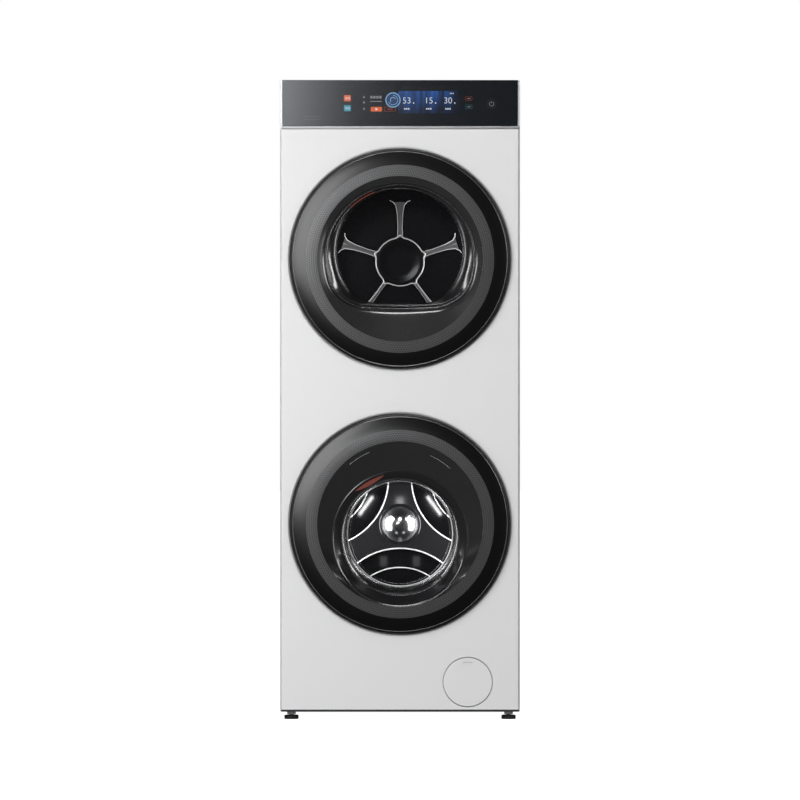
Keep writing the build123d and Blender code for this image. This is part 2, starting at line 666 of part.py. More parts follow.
def filter_housing():
    """The pump filter's cup behind the front sheet and its barrel."""
    cup = rod_y(FILTER_CUP_R, FACE_Y + 6, FILTER_CUP_BACK, FILTER_X, FILTER_Z)
    cup = cup - rod_y(FILTER_CUP_R - 4, FACE_Y, FILTER_CUP_BACK - 3.5, FILTER_X, FILTER_Z)
    cup = cup & block(90, HALF_W - SHEET - FIT, FACE_Y + 4, -230, PANEL_BOTTOM + 2, 200)
    barrel = tube_y(38, 30, -243.5, -170, FILTER_X, FILTER_Z)
    drain = tube_y(14, 10, -171, -150, FILTER_X, FILTER_Z)
    bulkhead = rod_y(38, -173, -169, FILTER_X, FILTER_Z) - rod_y(10, -174, -168, FILTER_X, FILTER_Z)
    housing = cup + barrel + drain + bulkhead
    return housing - rod_y(30, -245, -174, FILTER_X, FILTER_Z)


def drain_pump():
    """The drain pump behind the filter."""
    volute = rod_y(44, -149.5, -118, FILTER_X, FILTER_Z)
    motor = rod_y(30, -118, -60, FILTER_X, FILTER_Z)
    outlet = rod_x(11, FILTER_X - 90, FILTER_X - 20, -134, FILTER_Z + 26)
    return volute + motor + outlet


def filter_knob():
    """The screw-in filter cap with its finger bar, turned to open."""
    cap = rod_y(KNOB_R + 4, -256, -244.2, FILTER_X, FILTER_Z)
    bar = block(FILTER_X - KNOB_R + 2, FILTER_X + KNOB_R - 2, -276, -255, FILTER_Z - 6, FILTER_Z + 6)
    bar = fillet(bar.edges().filter_by(Axis.Y), 3)
    plug = rod_y(29.9, -245, -232, FILTER_X, FILTER_Z)
    basket = tube_y(26, 24, -233, -180, FILTER_X, FILTER_Z)
    return cap + bar + plug + basket


def filter_cover():
    """The round lid over the filter, with a finger notch and two hinge arms behind it."""
    lid = rod_y(COVER_R, FACE_Y, FACE_Y + COVER_T, FILTER_X, FILTER_Z)
    lid = fillet(lid.faces().sort_by(Axis.Y)[0].edges(), 1.2)
    notch = rod_y(12, FACE_Y - 1, FACE_Y + 1.6, FILTER_X, FILTER_Z + COVER_R - 16)
    notch = notch & block(FILTER_X - 12, FILTER_X + 12, FACE_Y - 2, FACE_Y + 3,
                          FILTER_Z + 43, FILTER_Z + 60)
    lid = lid - notch
    for side in (-1, 1):
        arm_x = FILTER_X + side * 16
        lid = lid + block(arm_x - 3, arm_x + 3, FACE_Y + 3, FACE_Y + 8,
                          COVER_HINGE_Z - 3, COVER_HINGE_Z + 6)
    return lid


# ---- dryer ----
def dryer_bulkhead():
    """The moulded wall that the drum's mouth turns against, with the window throat and filter pocket."""
    front = DISH_FLOOR_Y + DISH_WALL + 0.5
    plate = rod_y(270, front, front + 3, 0, DRY_AXIS_Z)
    throat_y = SEAL_FRONT - 0.3
    throat = extrude(facing(throat_y, UPPER_Z) * d_face(*WINDOW_OPENING, 4), throat_y - front)
    hollow = extrude(facing(-230, UPPER_Z) * d_face(*WINDOW_OPENING), 45)
    sill_z = UPPER_Z + WINDOW_OPENING[2]
    pocket = block(-106, 106, front, SEAL_FRONT - 0.3, 900, sill_z + 1)
    slot = block(-101, 101, LINT_FRONT - 2, LINT_BACK + 2, 904, sill_z + 2)
    track = tube_y(DRY_MOUTH_R + 2, DRY_MOUTH_R - 6, front + 1, SEAL_FRONT - 0.3, 0, DRY_AXIS_Z)
    body = plate + track + throat + pocket - hollow - slot
    return body - latch_slot(UPPER_Z, front - 1, front + 4)


def dryer_front_seal():
    """The felt ring between the bulkhead and the drum's lip."""
    return tube_y(DRY_MOUTH_R + 14, DRY_MOUTH_R - 4, SEAL_FRONT, DRY_DRUM_FRONT - FIT, 0, DRY_AXIS_Z)


def dryer_drum():
    """The steel drum: shell with a belt track, front ring and back wall."""
    outer = DRY_DRUM_R + DRUM_T
    drum = rod_y(outer, DRY_DRUM_FRONT, DRY_DRUM_BACK, 0, DRY_AXIS_Z)
    drum = drum - rod_y(DRY_DRUM_R, DRY_DRUM_FRONT + DRUM_T, DRY_DRUM_BACK - DRUM_T, 0, DRY_AXIS_Z)
    drum = drum - rod_y(DRY_MOUTH_R, DRY_DRUM_FRONT - 1, DRY_DRUM_FRONT + 3, 0, DRY_AXIS_Z)
    shaft = rod_y(9.95, DRY_DRUM_BACK - 0.5, DRY_DRUM_BACK + 52, 0, DRY_AXIS_Z)
    drum = drum + shaft
    for angle in (60, 180, 300):
        vane = block(-9, 9, -190, 180, DRY_DRUM_R - 42, DRY_DRUM_R + 0.5)
        drum = drum + Pos(0, 0, DRY_AXIS_Z) * Rot(0, angle, 0) * vane
    return drum


def dryer_drum_star():
    """The five-spoked cover over the drum's air holes, with a round hub."""
    back = DRY_DRUM_BACK - DRUM_T
    star = tube_y(162, 152, back - 8, back, 0, 0)
    for index in range(5):
        spoke = block(55, 156, back - 14, back, -9, 9)
        flare = make_face(Polyline((138, -9), (160, -26), (160, 26), (138, 9), close=True))
        foot = extrude(Plane.XZ.offset(-back) * flare, 12)
        star = star + Rot(0, -(90 + 72 * index), 0) * (spoke + foot)
    star = star + rod_y(65, back - 22, back, 0, 0)
    return Pos(0, 0, DRY_AXIS_Z) * star


def belt_outline(grow):
    """The outline round the drum and the motor pulley, as tangent lines and two arcs."""
    big = DRY_DRUM_R + DRUM_T + BELT_GAP + grow
    small = PULLEY_R + BELT_GAP + grow
    dx = MOTOR_X
    dz = MOTOR_Z - DRY_AXIS_Z
    distance = math.hypot(dx, dz)
    heading = math.atan2(dz, dx)
    spread = math.acos((big - small) / distance)
    points = []
    for angle in (heading + spread, heading - spread):
        big_point = (big * math.cos(angle), big * math.sin(angle))
        small_point = (dx + small * math.cos(angle), dz + small * math.sin(angle))
        points.append((big_point, small_point))
    far_big = (-big * math.cos(heading), -big * math.sin(heading))
    far_small = (dx + small * math.cos(heading), dz + small * math.sin(heading))
    round_drum = ThreePointArc(points[0][0], far_big, points[1][0])
    down = Line(points[1][0], points[1][1])
    round_pulley = ThreePointArc(points[1][1], far_small, points[0][1])
    up = Line(points[0][1], points[0][0])
    return make_face([round_drum, down, round_pulley, up])


def dryer_belt():
    """The flat drive belt round the drum."""
    plane = facing(BELT_Y + BELT_W / 2, DRY_AXIS_Z)
    outer = extrude(plane * belt_outline(BELT_T), BELT_W)
    inner = extrude(facing(BELT_Y + BELT_W, DRY_AXIS_Z) * belt_outline(0), BELT_W * 2)
    return outer - inner


def dryer_motor():
    """The dryer's motor in the lower right corner, on its cradle."""
    body = rod_y(46, -70, 40, MOTOR_X, MOTOR_Z)
    bore = rod_y(8.05, -80, 50, MOTOR_X, MOTOR_Z)
    cradle = block(MOTOR_X - 40, MOTOR_X + 40, -60, 30, SHELF_Z, MOTOR_Z - 30)
    return body + cradle - bore


def dryer_motor_shaft():
    """The motor's shaft with the belt pulley and the blower wheel."""
    shaft = rod_y(8.0, -74, 196, MOTOR_X, MOTOR_Z)
    pulley = rod_y(PULLEY_R, BELT_Y - 8, BELT_Y + 8, MOTOR_X, MOTOR_Z)
    wheel = rod_y(50, 188, 192, MOTOR_X, MOTOR_Z)
    for index in range(12):
        blade = block(30, 49, 150, 189, -1.5, 1.5)
        wheel = wheel + Pos(MOTOR_X, 0, MOTOR_Z) * Rot(0, 30 * index, 0) * blade
    ring = tube_y(50, 47, 150, 153, MOTOR_X, MOTOR_Z)
    return shaft + pulley + wheel + ring


def heat_pump():
    """The compressor, the two finned heat exchangers and the pipe between them."""
    compressor = rod_z(50, SHELF_Z + 8, SHELF_Z + 92, -225, 130)
    compressor = fillet(compressor.edges().filter_by(GeomType.CIRCLE), 16)
    cradle = block(-270, -180, 90, 170, SHELF_Z, SHELF_Z + 12)
    solids = [compressor + cradle]
    for y0 in (-190, -60):
        core = block(-130, 130, y0, y0 + 110, SHELF_Z + 2, SHELF_Z + 64)
        for groove in range(12):
            groove_x = -120 + groove * 20
            core = core - block(groove_x, groove_x + 8, y0 - 1, y0 + 111, SHELF_Z + 58, SHELF_Z + 65)
        solids.append(core)
    solids.append(rod_y(5, -79.5, -60.5, 60, SHELF_Z + 30))
    return Compound(children=solids)


def lint_filter():
    """The lift-out lint filter in the bulkhead's pocket, with a finger loop."""
    middle = (LINT_FRONT + LINT_BACK) / 2
    frame = block(-97, 97, LINT_FRONT, LINT_BACK, 908, 1000)
    frame = frame - block(-90, 90, LINT_FRONT + 3, LINT_BACK - 3, 914, 1001)
    for x in (-45, 45):
        frame = frame - block(x - 40, x + 40, LINT_FRONT - 1, LINT_BACK + 1, 918, 992)
    finger_hole = block(-20, 20, middle - 6, middle + 6, 990, 1002)
    handle = block(-28, 28, middle - 5, middle + 5, 994, 1005) - finger_hole
    bridge = block(-97, 97, middle - 7, middle + 7, 994, 1000) - finger_hole
    return frame + handle + bridge


# ---- services and feet ----
def water_inlet_valve():
    """The water valve: a body inside the recess wall and a threaded spigot out of it."""
    body = block(INLET_X - 22, INLET_X + 22, PORT_Y - 46, PORT_Y - 0.2, PORT_Z - 20, PORT_Z + 20)
    spigot = tube_y(INLET_THREAD_R, 8, PORT_Y - 1, PORT_Y + 22, INLET_X, PORT_Z)
    return body + spigot


def service_ports():
    """The drain spigot and the mains cable gland in the service recess."""
    drain = tube_y(DRAIN_R, 7.5, PORT_Y - 30, PORT_Y + 28, DRAIN_X, PORT_Z)
    drain = drain + tube_y(15, 7.5, PORT_Y - 6, PORT_Y - 0.2, DRAIN_X, PORT_Z)
    gland = tube_y(10.5, 4.5, PORT_Y - 8, PORT_Y + 14, GLAND_X, PORT_Z)
    gland = gland + tube_y(14, 4.5, PORT_Y + SHEET + 0.2, PORT_Y + 6, GLAND_X, PORT_Z)
    return Compound(children=[drain, gland])


def foot(x, y):
    """A screw foot: rubber-soled pad and threaded stem."""
    pad = rod_z(FOOT_PAD_R, 0, FOOT_PAD_H, x, y)
    pad = fillet(pad.faces().sort_by(Axis.Z)[-1].edges(), 2)
    return pad + rod_z(FOOT_STEM_R, FOOT_PAD_H - 1, FOOT_STEM_TOP, x, y)


def foot_lock_nuts():
    """The hexagon nut under the base at each foot."""
    nuts = []
    for x in (-FOOT_X, FOOT_X):
        for y in (FOOT_Y_FRONT, FOOT_Y_BACK):
            nut = extrude(Pos(x, y, FOOT_PAD_H + 2) * RegularPolygon(11, 6), FOOT_HEIGHT - FOOT_PAD_H - 2)
            nuts.append(nut - rod_z(FOOT_STEM_R + STEM_CLEARANCE, 0, 30, x, y))
    return Compound(children=nuts)


# ---- every sub-part ----
def build_nodes():
    """All sub-parts by name."""
    nodes = {
        "side_panel_left": side_panel(-1),
        "side_panel_right": side_panel(1),
        "rear_panel": rear_panel(),
        "top_cover": top_cover(),
        "front_panel": front_panel(),
        "base_frame": base_frame(),
        "middle_shelf": middle_shelf(),
        "control_housing": control_housing(),
        "control_glass": control_glass(),
        "control_trim": control_trim(),
        "control_electronics": control_electronics(),
        "washer_dish": washer_dish(),
        "dryer_dish": dryer_dish(),
        "door_hinge_brackets": hinge_brackets(),
        "door_hinge_pins": hinge_pins(),
        "door_locks": door_locks(),
        "lower_door_rim": door_rim(LOWER_Z),
        "lower_door_glass": door_glass(LOWER_Z),
        "lower_door_bezel": lower_door_bezel(),
        "lower_door_bowl": lower_door_bowl(),
        "lower_door_frame": door_frame(LOWER_Z, bowl_solid(BOWL_T + FIT, BOWL_END_Y)),
        "lower_door_grip": lower_door_grip(),
        "lower_door_fittings": door_fittings(LOWER_Z),
        "upper_door_rim": door_rim(UPPER_Z),
        "upper_door_glass": door_glass(UPPER_Z),
        "upper_door_bezel": upper_door_bezel(),
        "upper_door_window": upper_door_window(),
        "upper_door_frame": door_frame(UPPER_Z, window_solid(WINDOW_T + FIT, WINDOW_BACK_Y)),
        "upper_door_fittings": door_fittings(UPPER_Z),
        "washer_tub": washer_tub(),
        "door_gasket": door_gasket(),
        "counterweight": counterweight(),
        "tub_suspension": tub_suspension(),
        "tub_bearings": tub_bearings(),
        "motor_stator": motor_stator(),
        "washer_drum": washer_drum(),
        "washer_drum_star": washer_drum_star(),
        "drum_lifters": drum_lifters(),
        "drum_shaft": drum_shaft(),
        "motor_rotor": motor_rotor(),
        "filter_housing": filter_housing(),
        "drain_pump": drain_pump(),
        "filter_knob": filter_knob(),
        "filter_cover": filter_cover(),
        "dryer_bulkhead": dryer_bulkhead(),
        "dryer_front_seal": dryer_front_seal(),
        "dryer_drum": dryer_drum(),
        "dryer_drum_star": dryer_drum_star(),
        "dryer_belt": dryer_belt(),
        "dryer_motor": dryer_motor(),
        "dryer_motor_shaft": dryer_motor_shaft(),
        "heat_pump": heat_pump(),
        "lint_filter": lint_filter(),
        "water_inlet_valve": water_inlet_valve(),
        "service_ports": service_ports(),
        "foot_lock_nuts": foot_lock_nuts(),
    }
    corners = {
        "foot_front_left": (-FOOT_X, FOOT_Y_FRONT),
        "foot_front_right": (FOOT_X, FOOT_Y_FRONT),
        "foot_back_left": (-FOOT_X, FOOT_Y_BACK),
        "foot_back_right": (FOOT_X, FOOT_Y_BACK),
    }
    for name, place in corners.items():
        nodes[name] = foot(*place)
    return nodes


os.makedirs("parts", exist_ok=True)
for name, solid in build_nodes().items():
    export_step(solid, f"parts/{name}.step")
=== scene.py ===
import math
import bpy
import bmesh
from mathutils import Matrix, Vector


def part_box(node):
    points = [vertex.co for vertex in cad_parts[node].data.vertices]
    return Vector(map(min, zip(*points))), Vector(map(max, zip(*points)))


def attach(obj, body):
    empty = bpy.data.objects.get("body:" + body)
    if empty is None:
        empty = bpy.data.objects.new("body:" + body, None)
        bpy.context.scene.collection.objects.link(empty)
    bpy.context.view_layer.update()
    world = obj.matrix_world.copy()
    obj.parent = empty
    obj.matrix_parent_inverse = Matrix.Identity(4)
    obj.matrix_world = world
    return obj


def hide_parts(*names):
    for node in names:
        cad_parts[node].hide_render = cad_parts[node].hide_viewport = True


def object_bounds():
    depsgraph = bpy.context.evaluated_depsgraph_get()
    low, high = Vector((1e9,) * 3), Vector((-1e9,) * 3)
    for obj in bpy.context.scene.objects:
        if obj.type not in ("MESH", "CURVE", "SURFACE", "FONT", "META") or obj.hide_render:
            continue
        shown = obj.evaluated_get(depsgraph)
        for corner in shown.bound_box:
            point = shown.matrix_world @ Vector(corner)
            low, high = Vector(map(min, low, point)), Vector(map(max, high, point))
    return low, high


# The looks of a washer dryer stack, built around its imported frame.

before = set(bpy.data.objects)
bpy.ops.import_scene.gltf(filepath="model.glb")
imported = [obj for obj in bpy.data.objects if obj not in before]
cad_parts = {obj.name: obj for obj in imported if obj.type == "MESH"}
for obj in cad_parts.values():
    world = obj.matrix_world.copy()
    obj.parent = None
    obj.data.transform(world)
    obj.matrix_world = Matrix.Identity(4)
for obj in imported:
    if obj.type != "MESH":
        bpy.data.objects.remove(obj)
cad_box = [list(corner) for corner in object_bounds()]

MM = 0.001
TAU = 2 * math.pi
SEGMENTS = 256          # points round a full circle
SHARP_CAD = 28          # degrees between faces that still shade as one
SHARP_PIECE = 32
SHARP_TUBE = 50
TUBE_SIDES = 10
LENS_DISTANCE = 12.0    # metres from the front sheet to the camera
SEEN_WIDTH = 2.0        # metres across the picture at that distance

# ---------------------------------------------------------------- places from the frame


def middle(node):
    """The centre of a CAD node's box."""
    low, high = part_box(node)
    return (low + high) / 2


HEIGHT = cad_box[1][2]
UPPER = middle("upper_door_glass")
LOWER = middle("lower_door_glass")
PANEL_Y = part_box("front_panel")[0].y
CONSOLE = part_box("control_glass")
WASH_AXIS = middle("washer_drum")
DRY_AXIS = middle("dryer_front_seal")
WASH_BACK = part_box("washer_drum_star")[1].y
COVER = middle("filter_cover")
COVER_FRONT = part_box("filter_cover")[0].y
FILTER_Z = middle("filter_housing").z
MOUTH_DROP = 36.7       # millimetres from the lower door's centre down to its mouth's centre
MOUTH_Z = LOWER.z - MOUTH_DROP * MM
BOWL_END_Z = middle("door_gasket").z

# ---------------------------------------------------------------- materials

MAT = {}


def add(tree, kind, **sockets):
    """A node with its plain input values set."""
    node = tree.nodes.new(kind)
    for name, value in sockets.items():
        node.inputs[name.replace("_", " ")].default_value = value
    return node


def surface(name, color, rough, metal=0.0, grain=120.0, bump=0.02, vary=0.06, tint=0.05, stretch=(1, 1, 1),
            coat=0.0, alpha=1.0, specular=0.5, bump_size=0.0002):
    """A material whose colour, roughness and height follow a fine noise in the object's own space."""
    made = bpy.data.materials.new(name)
    made.use_nodes = True
    tree = made.node_tree
    tree.nodes.clear()
    out = add(tree, "ShaderNodeOutputMaterial")
    shader = add(tree, "ShaderNodeBsdfPrincipled", Metallic=metal, Specular_IOR_Level=specular,
                 Coat_Weight=coat, Coat_Roughness=0.05, Alpha=alpha)
    tree.links.new(shader.outputs[0], out.inputs[0])
    where = add(tree, "ShaderNodeTexCoord")
    place = add(tree, "ShaderNodeMapping", Scale=stretch)
    tree.links.new(where.outputs["Object"], place.inputs["Vector"])
    fine = add(tree, "ShaderNodeTexNoise", Scale=grain, Detail=6.0, Roughness=0.6)
    broad = add(tree, "ShaderNodeTexNoise", Scale=grain / 30, Detail=3.0, Roughness=0.5)
    tree.links.new(place.outputs[0], fine.inputs["Vector"])
    tree.links.new(place.outputs[0], broad.inputs["Vector"])
    rougher = add(tree, "ShaderNodeMapRange", To_Min=max(0.0, rough - vary), To_Max=min(1.0, rough + vary))
    tree.links.new(fine.outputs[0], rougher.inputs["Value"])
    tree.links.new(rougher.outputs[0], shader.inputs["Roughness"])
    tone = add(tree, "ShaderNodeMix")
    tone.data_type = "RGBA"
    tone.inputs["A"].default_value = [channel * (1 - tint) for channel in color] + [1]
    tone.inputs["B"].default_value = [min(1, channel * (1 + tint)) for channel in color] + [1]
    tree.links.new(broad.outputs[0], tone.inputs["Factor"])
    tree.links.new(tone.outputs["Result"], shader.inputs["Base Color"])
    if bump:
        height = add(tree, "ShaderNodeBump", Strength=bump, Distance=bump_size)
        tree.links.new(fine.outputs[0], height.inputs["Height"])
        tree.links.new(height.outputs[0], shader.inputs["Normal"])
    MAT[name] = made
    return made


def emit(made, color, strength):
    """Let a material glow evenly."""
    shader = made.node_tree.nodes["Principled BSDF"]
    shader.inputs["Emission Color"].default_value = (*color, 1)
    shader.inputs["Emission Strength"].default_value = strength


def glowing(name, color, strength):
    """A backlit print: the same noise surface with a plain emission."""
    emit(surface(name, (0.01, 0.01, 0.012), 0.14, vary=0.02, bump=0.0), color, strength)


surface("white_enamel", (0.75, 0.75, 0.755), 0.38, grain=900, bump=0.03, tint=0.006, specular=0.3)
surface("grey_enamel", (0.52, 0.52, 0.53), 0.38, grain=900, bump=0.04, tint=0.02)
surface("zinc", (0.50, 0.51, 0.52), 0.42, metal=0.45, grain=60, bump=0.05, vary=0.12, tint=0.12)
surface("dark_plastic", (0.030, 0.030, 0.033), 0.45, grain=2200, bump=0.12, tint=0.1)
surface("black_gloss", (0.010, 0.010, 0.011), 0.09, grain=40, bump=0.0, vary=0.03, tint=0.1, coat=0.4)
surface("slope", (0.020, 0.020, 0.021), 0.16, grain=700, bump=0.01, vary=0.02, tint=0.08, specular=0.7)
surface("grey_plastic", (0.33, 0.34, 0.35), 0.45, grain=1800, bump=0.10, tint=0.04)
surface("console_body", (0.60, 0.60, 0.61), 0.30, metal=0.6, grain=900, bump=0.03, tint=0.02)
surface("console_glass", (0.006, 0.008, 0.011), 0.12, grain=40, bump=0.0, vary=0.02)
surface("door_glass", (0.0025, 0.0025, 0.003), 0.215, grain=40, bump=0.0, vary=0.01)
surface("knurl", (0.003, 0.003, 0.003), 0.6, grain=400, bump=0.0, vary=0.05)
surface("knurl_pad", (0.064, 0.064, 0.066), 0.25, grain=400, bump=0.0, vary=0.05, specular=1.0)
surface("smoked_glass", (0.004, 0.004, 0.005), 0.04, grain=30, bump=0.0, vary=0.015, alpha=0.38,
        specular=0.8)
surface("flank_glass", (0.012, 0.012, 0.013), 0.17, grain=60, bump=0.0, vary=0.03, specular=1.0)
surface("ring_edge", (0.20, 0.20, 0.205), 0.30, metal=0.5, grain=60, bump=0.0, vary=0.03)
# Near-white and partly diffuse: a painted glint for the polished edges of the drum backs and the bowl, made
# brighter still by the drum lamps.
surface("bead", (0.90, 0.90, 0.91), 0.25, metal=0.35, grain=60, bump=0.0, vary=0.03)
surface("dome", (0.80, 0.80, 0.81), 0.17, metal=1.0, grain=50, bump=0.0, vary=0.02, tint=0.02)
surface("spoke", (0.26, 0.26, 0.265), 0.22, metal=0.55, grain=60, bump=0.0, vary=0.03)
surface("gap_grey", (0.36, 0.36, 0.37), 0.5, grain=900, bump=0.03, tint=0.03)
surface("nut_steel", (0.70, 0.70, 0.71), 0.25, metal=0.6, grain=300, bump=0.03, tint=0.05)
surface("soft_edge", (0.22, 0.22, 0.225), 0.18, metal=0.8, grain=60, bump=0.0, vary=0.03)
surface("rim_black", (0.004, 0.004, 0.004), 0.40, grain=900, bump=0.02, specular=0.3)
surface("satin_metal", (0.34, 0.34, 0.35), 0.30, metal=1.0, grain=500, bump=0.04, stretch=(0.02, 1, 1),
        tint=0.05)
# Near-black and glossy: painted shade of the unlit drum inside, used on the drum back walls and the dryer's
# hub cap instead of their steel.
surface("drum_shade_black", (0.003, 0.003, 0.0035), 0.11, grain=300, bump=0.0, vary=0.02)
surface("star_plate", (0.030, 0.030, 0.032), 0.17, metal=0.6, grain=260, bump=0.0, vary=0.03)
surface("rubber_grey", (0.10, 0.10, 0.105), 0.62, grain=1500, bump=0.10, tint=0.08)
surface("rubber_black", (0.012, 0.012, 0.012), 0.65, grain=1500, bump=0.15, tint=0.1)
surface("felt", (0.42, 0.39, 0.33), 0.95, grain=3000, bump=0.6, tint=0.15)
surface("concrete", (0.42, 0.41, 0.39), 0.9, grain=350, bump=0.7, tint=0.15, bump_size=0.001)
surface("cast_aluminium", (0.60, 0.61, 0.62), 0.45, metal=1.0, grain=900, bump=0.25, tint=0.06)
surface("ground_steel", (0.60, 0.60, 0.62), 0.18, metal=1.0, grain=400, bump=0.03, stretch=(1, 0.05, 1))
surface("motor_steel", (0.06, 0.06, 0.065), 0.5, metal=0.5, grain=500, bump=0.1, tint=0.1)
surface("red_accent", (0.16, 0.022, 0.008), 0.30, grain=200, bump=0.02, tint=0.05)
surface("drum_steel", (0.16, 0.16, 0.165), 0.30, metal=1.0, grain=300, bump=0.06, vary=0.1,
        stretch=(1, 0.03, 1), tint=0.06)
glowing("print_white", (0.85, 0.90, 1.0), 0.75)
glowing("print_dim", (0.55, 0.60, 0.68), 0.30)
glowing("print_orange", (1.0, 0.16, 0.02), 0.6)
glowing("print_teal", (0.03, 0.42, 0.60), 0.55)
glowing("console_faint", (0.5, 0.55, 0.6), 0.06)
glowing("print_red_dim", (1.0, 0.10, 0.03), 0.18)
glowing("print_teal_dim", (0.05, 0.5, 0.6), 0.14)
glowing("dial_glow", (0.30, 0.62, 1.0), 0.55)
glowing("dial_core", (0.012, 0.05, 0.17), 0.6)
surface("board", (0.02, 0.10, 0.05), 0.5, grain=500, bump=0.1, tint=0.2)
surface("white_plastic", (0.75, 0.75, 0.755), 0.38, grain=900, bump=0.03, tint=0.006, specular=0.3)
surface("black_paint", (0.02, 0.02, 0.02), 0.4, grain=400, bump=0.1)

FINISH = {
    "white_enamel": ("front_panel", "top_cover", "washer_dish", "dryer_dish"),
    "grey_enamel": ("side_panel_left", "side_panel_right"),
    "zinc": ("rear_panel", "middle_shelf", "door_hinge_brackets", "tub_suspension",
             "lower_door_fittings", "upper_door_fittings"),
    "dark_plastic": ("base_frame", "door_locks", "lower_door_frame", "upper_door_frame", "dryer_bulkhead",
                     "drain_pump", "service_ports"),
    "rim_black": ("lower_door_rim", "upper_door_rim"),
    "console_body": ("control_housing",),
    "console_glass": ("control_glass",),
    "satin_metal": ("control_trim",),
    "board": ("control_electronics",),
    "nut_steel": ("foot_lock_nuts",),
    "ground_steel": ("door_hinge_pins", "tub_bearings", "dryer_motor_shaft"),
    "grey_plastic": ("washer_tub", "lint_filter", "filter_knob"),
    "rubber_grey": ("door_gasket",),
    "concrete": ("counterweight",),
    "motor_steel": ("motor_stator", "motor_rotor", "dryer_motor"),
    "drum_steel": ("washer_drum", "drum_lifters", "dryer_drum"),
    "star_plate": ("washer_drum_star", "dryer_drum_star"),
    "cast_aluminium": ("drum_shaft",),
    "white_plastic": ("filter_cover", "filter_housing", "water_inlet_valve"),
    "felt": ("dryer_front_seal",),
    "rubber_black": ("dryer_belt", "foot_front_left", "foot_front_right", "foot_back_left",
                     "foot_back_right"),
    "black_paint": ("heat_pump",),
    "black_gloss": ("lower_door_bezel", "upper_door_bezel"),
    "door_glass": ("lower_door_glass", "upper_door_glass"),
    "smoked_glass": ("lower_door_bowl", "upper_door_window"),
    "red_accent": ("lower_door_grip",),
}
for finish, nodes in FINISH.items():
    for node in nodes:
        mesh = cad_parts[node].data
        mesh.materials.clear()
        mesh.materials.append(MAT[finish])
        mesh.shade_smooth()
        mesh.set_sharp_from_angle(angle=math.radians(SHARP_CAD))

# ---------------------------------------------------------------- mesh helpers


def new_piece(name, build, body, material, sharp=SHARP_PIECE):
    """Turn a bmesh into a named piece that rides on a body."""
    mesh = bpy.data.meshes.new(name)
    bmesh.ops.recalc_face_normals(build, faces=build.faces[:])
    build.to_mesh(mesh)
    build.free()
    for polygon in mesh.polygons:
        polygon.use_smooth = True
    mesh.set_sharp_from_angle(angle=math.radians(sharp))
    mesh.materials.append(MAT[material])
    piece = bpy.data.objects.new(name, mesh)
    bpy.context.scene.collection.objects.link(piece)
    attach(piece, body)
    return piece


def circle_ring(radius, y, centre_z, centre_x=0.0, count=SEGMENTS):
    """Points of a circle across the machine, counted from the right, turning up and to the left."""
    angles = [TAU * i / count for i in range(count)]
    return [Vector((centre_x + radius * math.cos(a), y, centre_z + radius * math.sin(a))) for a in angles]


def skin_rings(build, rings, close_last=False):
    """Join rings of points with faces; close_last joins the last ring back to the first."""
    rows = [[build.verts.new(point) for point in ring] for ring in rings]
    pairs = list(zip(rows, rows[1:]))
    if close_last:
        pairs.append((rows[-1], rows[0]))
    for first, second in pairs:
        count = len(first)
        for i in range(count):
            build.faces.new((first[i], first[(i + 1) % count], second[(i + 1) % count], second[i]))
    return rows


def cap(build, row):
    """Close a ring of vertices with a fan."""
    centre = sum((vertex.co for vertex in row), Vector()) / len(row)
    hub = build.verts.new(centre)
    for i in range(len(row)):
        build.faces.new((row[i], row[(i + 1) % len(row)], hub))


def skin_disc(name, rings, body, material):
    """A piece skinned over rings and closed at the last one."""
    build = bmesh.new()
    rows = skin_rings(build, rings)
    cap(build, rows[-1])
    return new_piece(name, build, body, material)


def pane(name, outline, centre, shares, body, material):
    """A flat pane from its outline toward a centre, by rings at shares of the way out."""
    rings = [outline] + [[centre.lerp(point, share) for point in outline] for share in shares]
    return skin_disc(name, rings, body, material)


def turned(name, profile, centre, body, material, count=SEGMENTS):
    """A closed ring turned from (radius, y) points in millimetres about the Y axis through centre."""
    build = bmesh.new()
    rings = [circle_ring(r * MM, y * MM, centre.z, centre.x, count) for r, y in profile]
    skin_rings(build, rings, close_last=True)
    return new_piece(name, build, body, material)


def arc3(a, b, c, steps):
    """Points on the circle through a, b and c, from a to c."""
    ax, ay, bx, by, cx, cy = *a, *b, *c
    d = 2 * (ax * (by - cy) + bx * (cy - ay) + cx * (ay - by))
    aa, bb, cc = ax * ax + ay * ay, bx * bx + by * by, cx * cx + cy * cy
    ux = (aa * (by - cy) + bb * (cy - ay) + cc * (ay - by)) / d
    uy = (aa * (cx - bx) + bb * (ax - cx) + cc * (bx - ax)) / d
    radius = math.hypot(ax - ux, ay - uy)
    start = math.atan2(ay - uy, ax - ux)
    end = math.atan2(cy - uy, cx - ux)
    turn = (end - start + math.pi) % TAU - math.pi
    angles = [start + turn * k / steps for k in range(steps + 1)]
    return [(ux + radius * math.cos(angle), uy + radius * math.sin(angle)) for angle in angles]


